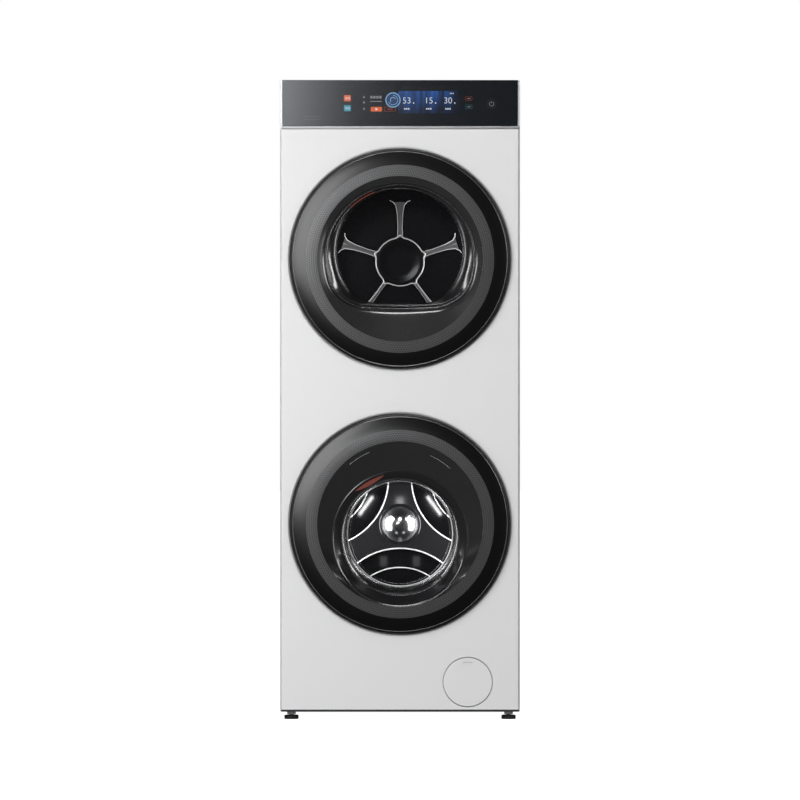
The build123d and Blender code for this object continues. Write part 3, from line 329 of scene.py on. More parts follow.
def d_ring(shape, grow=0.0):
    """The upper door's D outline at y 0, one point per equal angle, grown by some millimetres.

    The shape is (radius, centre, sill, corner, sag) in millimetres from the door's centre.
    """
    radius, centre, sill, corner, sag = shape
    radius, sill, corner = radius + grow, sill - grow, corner + grow
    fillet_z = sill + corner
    fillet_x = math.sqrt((radius - corner) ** 2 - (fillet_z - centre) ** 2)
    ring = []
    for i in range(SEGMENTS):
        angle = TAU * i / SEGMENTS
        dx, dz = math.cos(angle), math.sin(angle)
        reach = dz * centre + math.sqrt(max(0.0, radius ** 2 - (dx * centre) ** 2))
        if dz < 0:
            reach = min(reach, sill / dz)
        side = math.copysign(fillet_x, dx)
        along = dx * side + dz * fillet_z
        inside = along ** 2 - (side ** 2 + fillet_z ** 2) + corner ** 2
        if inside > 0:
            corner_reach = along + math.sqrt(inside)
            px, pz = dx * corner_reach, dz * corner_reach
            beyond_x = abs(px) >= fillet_x
            below = pz <= fillet_z + (abs(px) - fillet_x) * (fillet_z - centre) / fillet_x
            if beyond_x and below:
                reach = corner_reach
        x, z = dx * reach, dz * reach
        if z < 0:
            z -= sag * (z / sill) ** 2 * max(0.0, 1 - (x / (1.4 * fillet_x)) ** 2)
        ring.append(Vector((x * MM, 0, UPPER.z + z * MM)))
    return ring


def tube_along(name, points, radius, body, material, closed=True):
    """A round bar along a chain of points."""
    build = bmesh.new()
    depth = Vector((0, 1, 0))
    rings = []
    count = len(points)
    for i, point in enumerate(points):
        ahead = points[(i + 1) % count] if closed or i < count - 1 else point
        behind = points[i - 1] if closed or i > 0 else point
        tangent = (ahead - behind).normalized()
        across = tangent.cross(depth).normalized()
        turns = [TAU * k / TUBE_SIDES for k in range(TUBE_SIDES)]
        rings.append([point + (across * math.cos(turn) + depth * math.sin(turn)) * radius for turn in turns])
    rows = skin_rings(build, rings, close_last=closed)
    if not closed:
        cap(build, rows[0])
        cap(build, rows[-1])
    return new_piece(name, build, body, material, SHARP_TUBE)


def polar(axis, radius, degrees, y):
    """A point at a radius and angle about a drum axis, in millimetres."""
    angle = math.radians(degrees)
    return Vector((axis.x + radius * MM * math.cos(angle), y, axis.z + radius * MM * math.sin(angle)))


# ---------------------------------------------------------------- doors

# Radii and depths on the doors are in millimetres.
GLASS_ARC = arc3((267.2, -323.6), (240.0, -328.2), (207.0, -330.0), 24)
KNURL_IN, KNURL_OUT = 207.2, 235.0
KNURL_ROWS, KNURL_COLUMNS = 5, 216
KNURL_MARGIN = 0.5      # plain edge inside and outside the diamonds
KNURL_FOOT = 0.47       # how far behind the glass's curve a diamond's corners lie
KNURL_PEAK = 0.25       # and its raised middle
SLOPE_R, SLOPE_Y = 206.7, -328.2
SLOPE_T = 2.5


def glass_y(radius):
    """Depth of the domed glass at a radius, by the arc through its three points."""
    for (r0, y0), (r1, y1) in zip(GLASS_ARC, GLASS_ARC[1:]):
        if r1 <= radius <= r0:
            return y0 + (y1 - y0) * (radius - r0) / (r1 - r0)
    return GLASS_ARC[-1][1]


def door_ring_parts(name, centre, body):
    """The pieces that both doors share: glass annulus, textured band and bright line."""
    outer_arc = [point for point in GLASS_ARC if point[0] >= KNURL_OUT]
    outer_arc.append((KNURL_OUT, glass_y(KNURL_OUT)))
    back = [(KNURL_OUT, glass_y(KNURL_OUT) + 2.6), (207.0, -326.8), (207.0, -325.6), (236.0, -323.6),
            (267.2, -320.2)]
    glass = turned(name + "_glass_ring", outer_arc + back, centre, body, "door_glass")
    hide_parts(name + "_glass")
    line = [(267.3, -322.0), (267.3, -323.9), (267.9, -324.2), (268.4, -323.9), (268.4, -322.0)]
    turned(name + "_bright_line", line, centre, body, "ring_edge")
    knurled_band(name, centre, body)


def knurled_band(name, centre, body):
    """The band between the glass and the slope: a dark ring set with staggered rows of small diamonds."""
    base = [(KNURL_OUT - 0.2, glass_y(KNURL_OUT) + 0.5), (221.0, glass_y(221) + 0.55), (KNURL_IN, -329.4),
            (KNURL_IN, -327.4), (KNURL_OUT - 0.2, glass_y(KNURL_OUT) + 2.4)]
    turned(name + "_band", base, centre, body, "knurl_pad")
    half = (KNURL_OUT - KNURL_IN - 2 * KNURL_MARGIN) / KNURL_ROWS / 2
    wide = half * 0.92
    long = half * 1.08
    build = bmesh.new()

    def spot(radius, angle, sink):
        return build.verts.new((centre.x + radius * MM * math.cos(angle), (glass_y(radius) + sink) * MM,
                                centre.z + radius * MM * math.sin(angle)))

    for row in range(KNURL_ROWS):
        radius = KNURL_IN + KNURL_MARGIN + half * (2 * row + 1)
        for column in range(KNURL_COLUMNS):
            turn = TAU * (column + 0.5 * (row % 2)) / KNURL_COLUMNS
            spots = [spot(radius + out, turn + along / radius, KNURL_FOOT)
                     for out, along in ((wide, 0), (0, long), (-wide, 0), (0, -long))]
            peak = spot(radius, turn, KNURL_PEAK)
            for k in range(4):
                build.faces.new((spots[k], spots[(k + 1) % 4], peak))
    new_piece(name + "_diamonds", build, body, "knurl", sharp=5)


door_ring_parts("lower_door", LOWER, "lower_door")
door_ring_parts("upper_door", UPPER, "upper_door")

# The D outlines are (radius, centre, sill, corner, sag).
WINDOW_FRONT = (186.0, 0.0, -118.0, 92.0, 7.0)
WINDOW_BACK = (157.0, 20.0, -108.0, 80.0, 3.0)
WINDOW_BACK_Y = -316.0  # depth that the flank's back half is counted from
CONE_SLOPE = 28.0 / 76.7
EDGE_ROLL = ((10.0, 0.3), (7.5, 1.0), (5.0, 2.2), (3.0, 3.7), (1.5, 5.4), (0.5, 7.2), (0.0, 9.0))
# Share of the way from the front outline to the back one, and the depth at the sides and at the sill.
FLANK = ((0.0, 8.5, 8.5), (0.05, 9.0, 9.0), (0.15, 10.4, 12.0), (0.28, 12.4, 16.5), (0.42, 14.8, 21.5),
         (0.56, 17.6, 27.0), (0.68, 20.8, 32.0), (0.78, 25.0, 37.0), (0.87, 31.0, 42.0), (0.94, 39.0, 46.0),
         (1.0, 50.0, 50.0))


def lowness(i, gain, start):
    """How far a point of a ring counts as its underside: 0 at the sides and top, 1 below."""
    return max(0.0, min(1.0, -gain * math.sin(TAU * i / SEGMENTS) - start))


def cone_y(radius):
    """Depth of the dryer bezel's cone at a radius."""
    return SLOPE_Y + (SLOPE_R - radius) * CONE_SLOPE


def between(first, last, share):
    """A D shape between two others."""
    return tuple(a + (b - a) * share for a, b in zip(first, last))


def on_cone(ring, offset=0.0):
    """The same outline laid on the bezel's cone."""
    laid = []
    for point in ring:
        radius = math.hypot(point.x, point.z - UPPER.z) / MM
        laid.append(Vector((point.x, (cone_y(radius) + offset) * MM, point.z)))
    return laid


def upper_bezel():
    """The slope from the textured band down to the D-shaped window, with a rolled edge below."""
    build = bmesh.new()
    top = circle_ring(SLOPE_R * MM, SLOPE_Y * MM, UPPER.z)
    edge = d_ring(WINDOW_FRONT, 13.0)
    steps = 8
    rings = [on_cone([a.lerp(b, step / steps) for a, b in zip(top, edge)]) for step in range(steps + 1)]
    for grow, drop in EDGE_ROLL:
        wide = on_cone(d_ring(WINDOW_FRONT, grow), drop)
        narrow = on_cone(d_ring(WINDOW_FRONT, grow * 0.3), drop)
        rings.append([n.lerp(w, lowness(i, 1.4, 0.1)) for i, (n, w) in enumerate(zip(narrow, wide))])
    back_edge = on_cone(d_ring(WINDOW_FRONT, 1.5), 11.0)
    back_top = circle_ring(SLOPE_R * MM, (SLOPE_Y + SLOPE_T) * MM, UPPER.z)
    skin_rings(build, rings + [back_edge, back_top], close_last=True)
    bezel = new_piece("upper_door_slope", build, "upper_door", "slope")
    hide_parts("upper_door_bezel")


def upper_window():
    """The D-shaped glass: bright lines, a red arc, the rounded flank and the clear pane."""
    for name, grow, depth, thick in (("upper_window_line", -1.3, 7.5, 0.8),
                                     ("upper_window_inner_line", -8.0, 10.5, 0.6)):
        tube_along(name, on_cone(d_ring(WINDOW_FRONT, grow), depth), thick * MM, "upper_door", "soft_edge")
    red = [polar(UPPER, 178.5, 110.6 + 22.8 * step / 24, -309.5 * MM) for step in range(25)]
    tube_along("upper_red_line", red, 1.5 * MM, "upper_door", "red_accent", closed=False)
    lip = on_cone(d_ring(WINDOW_FRONT))
    rings = []
    for share, shallow, steep in FLANK:
        ring = d_ring(between(WINDOW_FRONT, WINDOW_BACK, share), -2.0 * (1 - share))
        blend = max(0.0, 2 * share - 1)
        for i, (point, edge) in enumerate(zip(ring, lip)):
            depth = (shallow + (steep - shallow) * lowness(i, 1.6, 0.35)) * MM
            point.y = (edge.y + depth) * (1 - blend) + (WINDOW_BACK_Y * MM + depth) * blend
        rings.append(ring)
    flank = bmesh.new()
    skin_rings(flank, rings)
    new_piece("upper_window_flank", flank, "upper_door", "flank_glass")
    last = rings[-1]
    glass = pane("upper_window_pane", last, Vector((0, last[0].y, UPPER.z + 20 * MM)), (0.75, 0.5, 0.25),
                 "upper_door", "smoked_glass")
    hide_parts("upper_door_window")


upper_bezel()
upper_window()

MOUTH_R, MOUTH_Y = 171.0, -301.0
SLOPE_RUN = SLOPE_R - MOUTH_R
SLOPE_FALL = MOUTH_Y - SLOPE_Y
# Radius, depth, share of the way from the mouth's centre to the bowl end's, and the depth at the bottom.
BOWL = ((171.0, -301.0, 0.0, -301.0), (169.0, -301.6, 0.0, -301.6), (167.0, -301.0, 0.0, -300.5),
        (164.5, -299.6, 0.02, -296.0), (160.0, -297.2, 0.06, -288.0), (155.0, -294.2, 0.12, -280.0),
        (150.0, -290.6, 0.20, -272.0), (145.5, -286.0, 0.30, -264.0), (142.0, -279.0, 0.42, -255.0),
        (139.0, -267.0, 0.56, -245.0), (136.5, -248.0, 0.72, -233.0), (134.3, -224.0, 0.88, -218.0),
        (133.0, -202.0, 1.0, -202.0))


def bowl_z(share):
    """Height of the bowl's axis at a share of the way from its mouth to its end."""
    return MOUTH_Z + (BOWL_END_Z - MOUTH_Z) * share


def lower_bezel():
    """The funnel from the textured band to the sunken round mouth."""
    build = bmesh.new()
    rings = []
    steps = 14
    for step in range(steps + 1):
        share = step / steps
        rings.append(circle_ring((SLOPE_R - SLOPE_RUN * share) * MM, (SLOPE_Y + SLOPE_FALL * share) * MM,
                                 LOWER.z + (MOUTH_Z - LOWER.z) * share))
    rings.append(circle_ring(172.5 * MM, -298.5 * MM, MOUTH_Z))
    rings.append(circle_ring(178.0 * MM, -299.0 * MM, MOUTH_Z))
    rings.append(circle_ring(SLOPE_R * MM, -325.0 * MM, LOWER.z))
    skin_rings(build, rings, close_last=True)
    bezel = new_piece("lower_door_slope", build, "lower_door", "slope")
    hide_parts("lower_door_bezel")


def lower_bowl():
    """The round bowl: lip, rounded shoulder, deep wall, the clear end and its edges."""
    rings = []
    for r, y, share, lower_y in BOWL:
        ring = circle_ring(r * MM, y * MM, bowl_z(share))
        for i, point in enumerate(ring):
            point.y = (y + (lower_y - y) * lowness(i, 1.8, 0.5)) * MM
        rings.append(ring)
    wall = bmesh.new()
    skin_rings(wall, rings)
    new_piece("lower_bowl_wall", wall, "lower_door", "flank_glass")
    last = rings[-1]
    end = pane("lower_bowl_end", last, Vector((0, last[0].y, BOWL_END_Z)), (0.93, 0.75, 0.5, 0.25),
               "lower_door", "smoked_glass")
    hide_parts("lower_door_bowl")
    # The bowl's outer edge line is drawn in the bead finish, which paints a glint.
    for name, radius, y, thick, share, material in (
            ("lower_bowl_edge", 132.4, -203.0, 1.1, 1.0, "bead"),
            ("lower_bowl_inner_edge", 126.5, -203.6, 0.8, 1.0, "soft_edge"),
            ("lower_bowl_shoulder_edge", 146.0, -287.4, 0.6, 0.30, "soft_edge")):
        ring = circle_ring(radius * MM, y * MM, bowl_z(share), 0, 128)
        tube_along(name, ring, thick * MM, "lower_door", material)


def funnel_y(x, z):
    """Depth of the lower slope at a place counted from the door's centre, in millimetres."""
    low, high = 0.0, 1.0
    for _ in range(30):
        share = (low + high) / 2
        if math.hypot(x, z + MOUTH_DROP * share) > SLOPE_R - SLOPE_RUN * share:
            high = share
        else:
            low = share
    return SLOPE_Y + SLOPE_FALL * share


def slope_print():
    """Two hairlines printed over the top of the lower slope."""
    steps = 24
    for name, radius, start, end in (("slope_line_left", 195.0, 130, 113),
                                     ("slope_line_right", 187.0, 66, 48)):
        points = []
        for step in range(steps + 1):
            angle = math.radians(start + (end - start) * step / steps)
            x, z = radius * math.cos(angle), radius * math.sin(angle)
            points.append(Vector((x * MM, (funnel_y(x, z) - 0.1) * MM, LOWER.z + z * MM)))
        tube_along(name, points, 0.45 * MM, "lower_door", "grey_plastic", closed=False)


def mouth_lip():
    """The thin light line along the bottom of the lower door's mouth."""
    steps = 48
    centre = Vector((0, 0, MOUTH_Z))
    points = [polar(centre, 170.6, 222 + 96 * step / steps, -302.0 * MM) for step in range(steps + 1)]
    tube_along("lower_mouth_lip", points, 0.9 * MM, "lower_door", "soft_edge", closed=False)


def filter_marks():
    """The seam round the filter cover and the line of its finger notch."""
    front = COVER_FRONT / MM
    seam = [(61.3, front + 1.0), (62.7, front + 1.0), (62.7, front + 2.0), (61.3, front + 2.0)]
    turned("filter_gap_ring", seam, Vector((COVER.x, 0, FILTER_Z)), "cabinet", "gap_grey",
           count=128)
    steps = 16
    centre = Vector((COVER.x, 0, FILTER_Z - 8 * MM))
    depth = COVER_FRONT + 0.25 * MM
    notch = [polar(centre, 56.0, 78 + 24 * step / steps, depth) for step in range(steps + 1)]
    tube_along("filter_cover_notch", notch, 0.5 * MM, "filter_cover", "gap_grey", closed=False)


lower_bezel()
lower_bowl()
slope_print()
mouth_lip()
filter_marks()

# ---------------------------------------------------------------- drum backs


def plate(build, outline, front, back):
    """A flat plate from an outline of (x, z) points, front face first."""
    near = [build.verts.new((x, front, z)) for x, z in outline]
    far = [build.verts.new((x, back, z)) for x, z in outline]
    count = len(outline)
    for i in range(count):
        build.faces.new((near[i], near[(i + 1) % count], far[(i + 1) % count], far[i]))
    build.faces.new(near)
    build.faces.new(list(reversed(far)))


def bite_arc(heading, apex, radius, half, steps, y, reach):
    """An arc that bulges toward the washer's axis, its crown at the apex distance on a heading.

    Only the points within reach of the axis are kept.
    """
    centre_r = apex + radius
    heading = math.radians(heading)
    points = []
    for step in range(steps + 1):
        turn = heading + math.pi + math.radians(-half + 2 * half * step / steps)
        x = centre_r * math.cos(heading) + radius * math.cos(turn)
        z = centre_r * math.sin(heading) + radius * math.sin(turn)
        if math.hypot(x, z) < reach:
            points.append(Vector((WASH_AXIS.x + x * MM, y, WASH_AXIS.z + z * MM)))
    return points


# Distance of each arc's crown from the axis, its radius and half its sweep in degrees.
STAR_BITE = (62.0, 178.0, 62)
BACK_BEAD = (112.0, 140.0, 52)
DOME_R, DOME_H = 45.0, 17.0
HUB_SKIRT = ((54, 0), (52.5, 0.6), (50, 2.2), (48, 4.8), (46, 5.6), (45.5, 1))


def washer_back():
    """The three-armed cover in the washer drum: arms between three round bites, bright edges and a dome."""
    low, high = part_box("washer_drum_star")
    wall = high.y
    face = wall - 14 * MM
    height = WASH_AXIS.z
    outline = []
    for heading in (30, 150, 270):
        bite = bite_arc(heading, *STAR_BITE, 28, 0.0, 236)
        outline += [(point.x, point.z) for point in reversed(bite)]
    arms = bmesh.new()
    plate(arms, outline, face, wall)
    star = new_piece("washer_star_arms", arms, "washer_drum", "star_plate")
    # The star's edges and the back beads are drawn in the bead finish, which paints a glint.
    for heading in (30, 150, 270):
        edge = bite_arc(heading, *STAR_BITE, 60, face, 232)
        tube_along("washer_star_edge_%d" % heading, edge, 1.9 * MM, "washer_drum", "bead", closed=False)
        bead = bite_arc(heading, *BACK_BEAD, 40, wall - 6 * MM, 238)
        tube_along("washer_back_bead_%d" % heading, bead, 1.7 * MM, "washer_drum", "bead", closed=False)
    skirt = bmesh.new()
    skin_rings(skirt, [circle_ring(r * MM, face - y * MM, height) for r, y in HUB_SKIRT])
    new_piece("washer_star_hub", skirt, "washer_drum", "star_plate")
    ball = (DOME_R ** 2 + DOME_H ** 2) / (2 * DOME_H)
    rings = [circle_ring(DOME_R * MM, face - 2 * MM, height)]
    steps = 12
    for step in range(steps + 1):
        r = DOME_R * (1 - step / steps)
        drop = ball - math.sqrt(ball ** 2 - r ** 2)
        rings.append(circle_ring(max(r, 0.5) * MM, low.y + drop * MM, height))
    skin_disc("washer_star_dome", rings, "washer_drum", "dome")
    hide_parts("washer_drum_star")
    # A near-black back wall: painted shade of the drum's dark inside.
    rings = [circle_ring(r * MM, wall - 0.5 * MM, height) for r in (242, 160, 80, 20)]
    skin_disc("washer_back_wall", rings, "washer_drum", "drum_shade_black")


# Half section of a spoke: share of its half width, and share of its height.
ROOF = ((-1, 0), (-0.45, 0.55), (-0.10, 1), (0.10, 1), (0.45, 0.55), (1, 0))
# Radius, half width and height along a spoke, and radius and half width along its bright edges.
SPOKE = ((63, 13, 5), (70, 7, 9), (90, 6, 10), (125, 7.5, 11), (148, 11.2, 12), (156, 16, 9))
SPOKE_EDGE = ((69, 6.5), (90, 5.5), (125, 7.0), (148, 11.2), (157, 19.0), (160, 27.0))
SPOKES = ((90, 1.0), (162, 1.0), (234, 0.6), (306, 0.6), (378, 1.0))    # heading and relative width
CAP_R, CAP_PEAK, CAP_PEAK_SPREAD = 62.5, 7.0, 5.5
# Radius of the cap's profile and how far it stands off the wall.
CAP = ((61, 0), (61, 16), (58, 18.5), (50, 18.7), (48, 18.4), (30, 18.4), (8, 18.4))


def ridge(build, heading, slim, base):
    """A spoke with a roof-shaped section along a heading."""
    heading = math.radians(heading)
    along = Vector((math.cos(heading), 0, math.sin(heading)))
    across = Vector((-math.sin(heading), 0, math.cos(heading)))
    rows = []
    for radius, width, height in SPOKE:
        centre = Vector((DRY_AXIS.x, base, DRY_AXIS.z)) + along * radius * MM
        lift = Vector((0, -height * MM, 0))
        rows.append([build.verts.new(centre + across * width * slim * side * MM + lift * rise)
                     for side, rise in ROOF])
    for first, second in zip(rows, rows[1:]):
        for i in range(len(ROOF)):
            k = (i + 1) % len(ROOF)
            build.faces.new((first[i], first[k], second[k], second[i]))
    build.faces.new(rows[0])
    build.faces.new(list(reversed(rows[-1])))


def dryer_back():
    """The five-spoked cover in the dryer drum: ridged spokes, a round cap and its bright edge."""
    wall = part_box("dryer_drum_star")[1].y
    axis = DRY_AXIS
    spokes = bmesh.new()
    for heading, slim in SPOKES:
        ridge(spokes, heading, slim, wall - 6 * MM)
    new_piece("dryer_star_spokes", spokes, "dryer_drum", "spoke", sharp=20)
    edge = []
    steps = 240
    for step in range(steps):
        angle = 360 * step / steps
        near = min(abs((angle - heading + 180) % 360 - 180) for heading, slim in SPOKES)
        peak = CAP_PEAK * math.exp(-(near / CAP_PEAK_SPREAD) ** 2)
        edge.append(polar(axis, CAP_R + peak, angle, wall - 15 * MM))
    # The cap edge and the spoke edges are drawn in the bead finish, which paints a glint.
    tube_along("dryer_star_cap_edge", edge, 1.6 * MM, "dryer_drum", "bead")
    for index, (heading, slim) in enumerate(SPOKES):
        for side in (-1, 1):
            run = []
            for radius, width in SPOKE_EDGE:
                half = width * slim
                swing = math.degrees(math.atan2(side * half, radius))
                run.append(polar(axis, math.hypot(radius, half), heading + swing, wall - 9 * MM))
            name = "dryer_spoke_edge_%d_%d" % (index, side + 1)
            tube_along(name, run, 0.9 * MM, "dryer_drum", "bead", closed=False)
    # The hub cap also takes the near-black painted shade.
    rings = [circle_ring(r * MM, wall - y * MM, axis.z) for r, y in CAP]
    hub = skin_disc("dryer_star_cap", rings, "dryer_drum", "drum_shade_black")
    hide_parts("dryer_drum_star")
    # A near-black back wall: painted shade of the drum's dark inside.
    rings = [circle_ring(r * MM, wall - 0.5 * MM, axis.z) for r in (259, 175, 110, 60)]
    skin_disc("dryer_back_wall", rings, "dryer_drum", "drum_shade_black")


washer_back()
dryer_back()

# ---------------------------------------------------------------- console

GLASS_SKIN = 0.5 * MM
SCREEN_Y = CONSOLE[0].y + 0.15 * MM
MARKS_Y = CONSOLE[0].y + 0.05 * MM
ICONS_Y = CONSOLE[0].y
FONT_RATIO = 0.73       # height of a figure as a share of the font's size


def rounded(x0, x1, z0, z1, corner, steps=6):
    """The outline of a rectangle with round corners, in metres."""
    points = []
    for cx, cz, start in ((x1 - corner, z1 - corner, 0), (x0 + corner, z1 - corner, 90),
                          (x0 + corner, z0 + corner, 180), (x1 - corner, z0 + corner, 270)):
        for step in range(steps + 1):
            angle = math.radians(start + 90 * step / steps)
            points.append((cx + corner * math.cos(angle), cz + corner * math.sin(angle)))
    return points


def flat_rows(build, first, second, closed):
    """Join two rows of (x, z) points with faces."""
    near = [build.verts.new((x, 0, z)) for x, z in first]
    far = [build.verts.new((x, 0, z)) for x, z in second]
    count = len(near)
    for i in range(count if closed else count - 1):
        k = (i + 1) % count
        build.faces.new((near[i], near[k], far[k], far[i]))


def outline_of(x, z, wide, tall, corner):
    """A rounded outline by its centre and size in millimetres."""
    return rounded((x - wide / 2) * MM, (x + wide / 2) * MM, (z - tall / 2) * MM, (z + tall / 2) * MM,
                   corner * MM)


def patch(build, x, z, wide, tall, corner=0.4):
    """A filled mark centred on the console at x, z in millimetres."""
    outline = outline_of(x, z, wide, tall, min(corner, wide / 2.01, tall / 2.01))
    build.faces.new([build.verts.new((px, 0, pz)) for px, pz in outline])


def frame_line(build, x, z, wide, tall, line, corner):
    """An outlined mark."""
    outer = outline_of(x, z, wide, tall, corner)
    inner = outline_of(x, z, wide - 2 * line, tall - 2 * line, max(0.1, corner - line))
    flat_rows(build, outer, inner, True)


def disc_line(build, x, z, outer, inner, start=0, sweep=360, steps=48):
    """A ring or part of a ring."""
    angles = [math.radians(start + sweep * step / steps) for step in range(steps + 1)]
    rows = [[((x + r * math.cos(angle)) * MM, (z + r * math.sin(angle)) * MM) for angle in angles]
            for r in (outer, inner)]
    flat_rows(build, *rows, False)


def numerals(build, text, x, z, tall):
    """A figure on the screen as a mesh."""
    curve = bpy.data.curves.new("figure", "FONT")
    curve.body = text
    curve.size = tall * MM / FONT_RATIO
    curve.offset = -0.012 * curve.size
    curve.align_x = "CENTER"
    curve.align_y = "CENTER"
    holder = bpy.data.objects.new("figure", curve)
    bpy.context.scene.collection.objects.link(holder)
    bpy.context.view_layer.update()
    flat = bpy.data.meshes.new_from_object(holder.evaluated_get(bpy.context.evaluated_depsgraph_get()))
    bpy.data.objects.remove(holder)
    corners = [build.verts.new((vertex.co.x + x * MM, 0, vertex.co.y + z * MM)) for vertex in flat.vertices]
    for polygon in flat.polygons:
        build.faces.new([corners[index] for index in polygon.vertices])
    bpy.data.meshes.remove(flat)


def print_piece(name, build, material, depth=MARKS_Y):
    """A flat print on the console glass, all its faces turned to the front."""
    for vertex in build.verts:
        vertex.co.y = depth
    for face in build.faces:
        face.normal_update()
        if face.normal.y > 0:
            face.normal_flip()
    mesh = bpy.data.meshes.new(name)
    build.to_mesh(mesh)
    build.free()
    mesh.materials.append(MAT[material])
    piece = bpy.data.objects.new(name, mesh)
    bpy.context.scene.collection.objects.link(piece)
    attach(piece, "cabinet")


def screen_material():
    """The backlit blue picture: soft clouds of two blues, dimmer below and at its right end."""
    made = surface("screen_blue", (0.002, 0.004, 0.010), 0.14, vary=0.02, bump=0.0)
    tree = made.node_tree
    shader = tree.nodes["Principled BSDF"]
    where = add(tree, "ShaderNodeTexCoord")
    place = add(tree, "ShaderNodeMapping", Scale=(1.0, 1.0, 0.12))
    cloud = add(tree, "ShaderNodeTexNoise", Scale=60.0, Detail=3.0, Roughness=0.55)
    ramp = add(tree, "ShaderNodeValToRGB")
    for stop, position, color in zip(ramp.color_ramp.elements, (0.40, 0.72),
                                     ((0.003, 0.009, 0.034, 1), (0.014, 0.075, 0.28, 1))):
        stop.position = position
        stop.color = color
    parts = add(tree, "ShaderNodeSeparateXYZ")
    fade = add(tree, "ShaderNodeMapRange", From_Min=1520 * MM, From_Max=1574 * MM, To_Min=0.28, To_Max=1.35)
    side = add(tree, "ShaderNodeMapRange", From_Min=148 * MM, From_Max=95 * MM, To_Min=0.12, To_Max=1.0)
    shade = add(tree, "ShaderNodeMath")
    shade.operation = "MULTIPLY"
    dimmed = add(tree, "ShaderNodeVectorMath")
    dimmed.operation = "SCALE"
    tree.links.new(where.outputs["Object"], place.inputs["Vector"])
    tree.links.new(place.outputs[0], cloud.inputs["Vector"])
    tree.links.new(where.outputs["Object"], parts.inputs[0])
    tree.links.new(parts.outputs["Z"], fade.inputs["Value"])
    tree.links.new(parts.outputs["X"], side.inputs["Value"])
    tree.links.new(fade.outputs[0], shade.inputs[0])
    tree.links.new(side.outputs[0], shade.inputs[1])
    tree.links.new(cloud.outputs[0], ramp.inputs[0])
    tree.links.new(ramp.outputs[0], dimmed.inputs[0])
    tree.links.new(shade.outputs[0], dimmed.inputs["Scale"])
    tree.links.new(dimmed.outputs[0], shader.inputs["Emission Color"])
    shader.inputs["Emission Strength"].default_value = 1.0


screen_material()


def console():
    """The glass slab over the console and everything printed or lit on it."""
    low, high = CONSOLE
    build = bmesh.new()
    front = rounded(low.x, high.x, low.z, high.z, 1.2 * MM)
    inset = rounded(low.x + MM, high.x - MM, low.z + MM, high.z - MM, 0.8 * MM)
    rings = [[Vector((x, high.y, z)) for x, z in front], [Vector((x, low.y + 1.4 * MM, z)) for x, z in front],
             [Vector((x, low.y + GLASS_SKIN, z)) for x, z in inset]]
    rows = skin_rings(build, rings)
    build.faces.new(rows[-1])
    build.faces.new(rows[0])
    glass = new_piece("console_glass_slab", build, "cabinet", "console_glass")
    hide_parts("control_glass")

    screen = bmesh.new()
    patch(screen, 72, 1544.5, 152, 56, 3)
    print_piece("screen", screen, "screen_blue", SCREEN_Y)

    figures = bmesh.new()
    for digits, x in (("53", 17), ("15", 72), ("30", 120)):
        numerals(figures, digits, x, 1548, 16)
    for x in (34, 89, 137):
        patch(figures, x, 1542.5, 2.6, 3.2, 0.5)
    for x in (17, 72, 120):
        for k in range(3):
            patch(figures, x - 5 + 5 * k, 1528, 3.2, 3.6, 0.4)
    for k in range(3):
        patch(figures, 126 + 3.5 * k, 1566.5, 2, 2.4, 0.3)
    print_piece("screen_figures", figures, "print_white")

    marks = bmesh.new()
    for k in range(4):
        patch(marks, -71.5 + 7.5 * k, 1557, 5.4, 6.5, 0.6)
    patch(marks, -60, 1546.5, 29, 2.0, 0.5)
    for z in (1556, 1543, 1527):
        patch(marks, -90, z, 5.5, 2.2, 0.6)
        patch(marks, -90, z + 3, 3, 2.2, 0.5)
    disc_line(marks, 229, 1540.5, 6.2, 4.9, 120, 300, 40)
    patch(marks, 229, 1544.5, 1.3, 6.0, 0.4)
    for z in (1553.5, 1533):
        patch(marks, 172, z, 8, 1.8, 0.5)
    print_piece("console_marks", marks, "print_dim")

    dim = bmesh.new()
    frame_line(dim, -220, 1504.5, 42, 8, 1.0, 3.8)
    disc_line(dim, 229, 1540.5, 11.5, 10.9, 0, 360, 48)
    print_piece("console_faint_marks", dim, "console_faint")

    orange = bmesh.new()
    patch(orange, -131.5, 1554.5, 17, 15, 2)
    patch(orange, -59, 1527, 28, 11.5, 2)
    print_piece("console_orange_keys", orange, "print_orange")
    teal = bmesh.new()
    patch(teal, -131.5, 1529.5, 17, 15, 2)
    print_piece("console_teal_key", teal, "print_teal")
    red = bmesh.new()
    frame_line(red, -25, 1527, 29, 11.5, 1.2, 2)
    patch(red, -25, 1527, 12, 3, 0.5)
    frame_line(red, 172, 1553.5, 17, 10, 1.0, 1.5)
    print_piece("console_red_lines", red, "print_red_dim")
    teal_lines = bmesh.new()
    frame_line(teal_lines, 172, 1533, 17, 10, 1.0, 1.5)
    print_piece("console_teal_lines", teal_lines, "print_teal_dim")

    icons = bmesh.new()
    for x, z in ((-131.5, 1554.5), (-131.5, 1529.5)):
        disc_line(icons, x - 2.5, z, 2.4, 1.4, 0, 360, 20)
        patch(icons, x + 4, z + 1.5, 3.5, 1.6, 0.4)
        patch(icons, x + 4, z - 1.8, 3.5, 1.6, 0.4)
    arrow = ((-61, 1530.6), (-61, 1523.4), (-55, 1527))
    icons.faces.new([icons.verts.new((x * MM, 0, z * MM)) for x, z in arrow])
    print_piece("console_icons", icons, "print_white", ICONS_Y)

    glow = bmesh.new()
    disc_line(glow, -17.5, 1550, 19, 16.5, 0, 360, 64)
    disc_line(glow, -17.5, 1550, 12.5, 11.2, 200, 250, 48)
    disc_line(glow, -17.5, 1550, 7.5, 5.6, 20, 200, 32)
    print_piece("dial_rings", glow, "dial_glow", ICONS_Y)
    core = bmesh.new()
    disc_line(core, -17.5, 1550, 16.5, 0.3, 0, 360, 64)
    print_piece("dial_face", core, "dial_core")


console()

# ---------------------------------------------------------------- stage, lights and camera


FACE = (0, -0.3, 0.9)    # where most of the softboxes aim
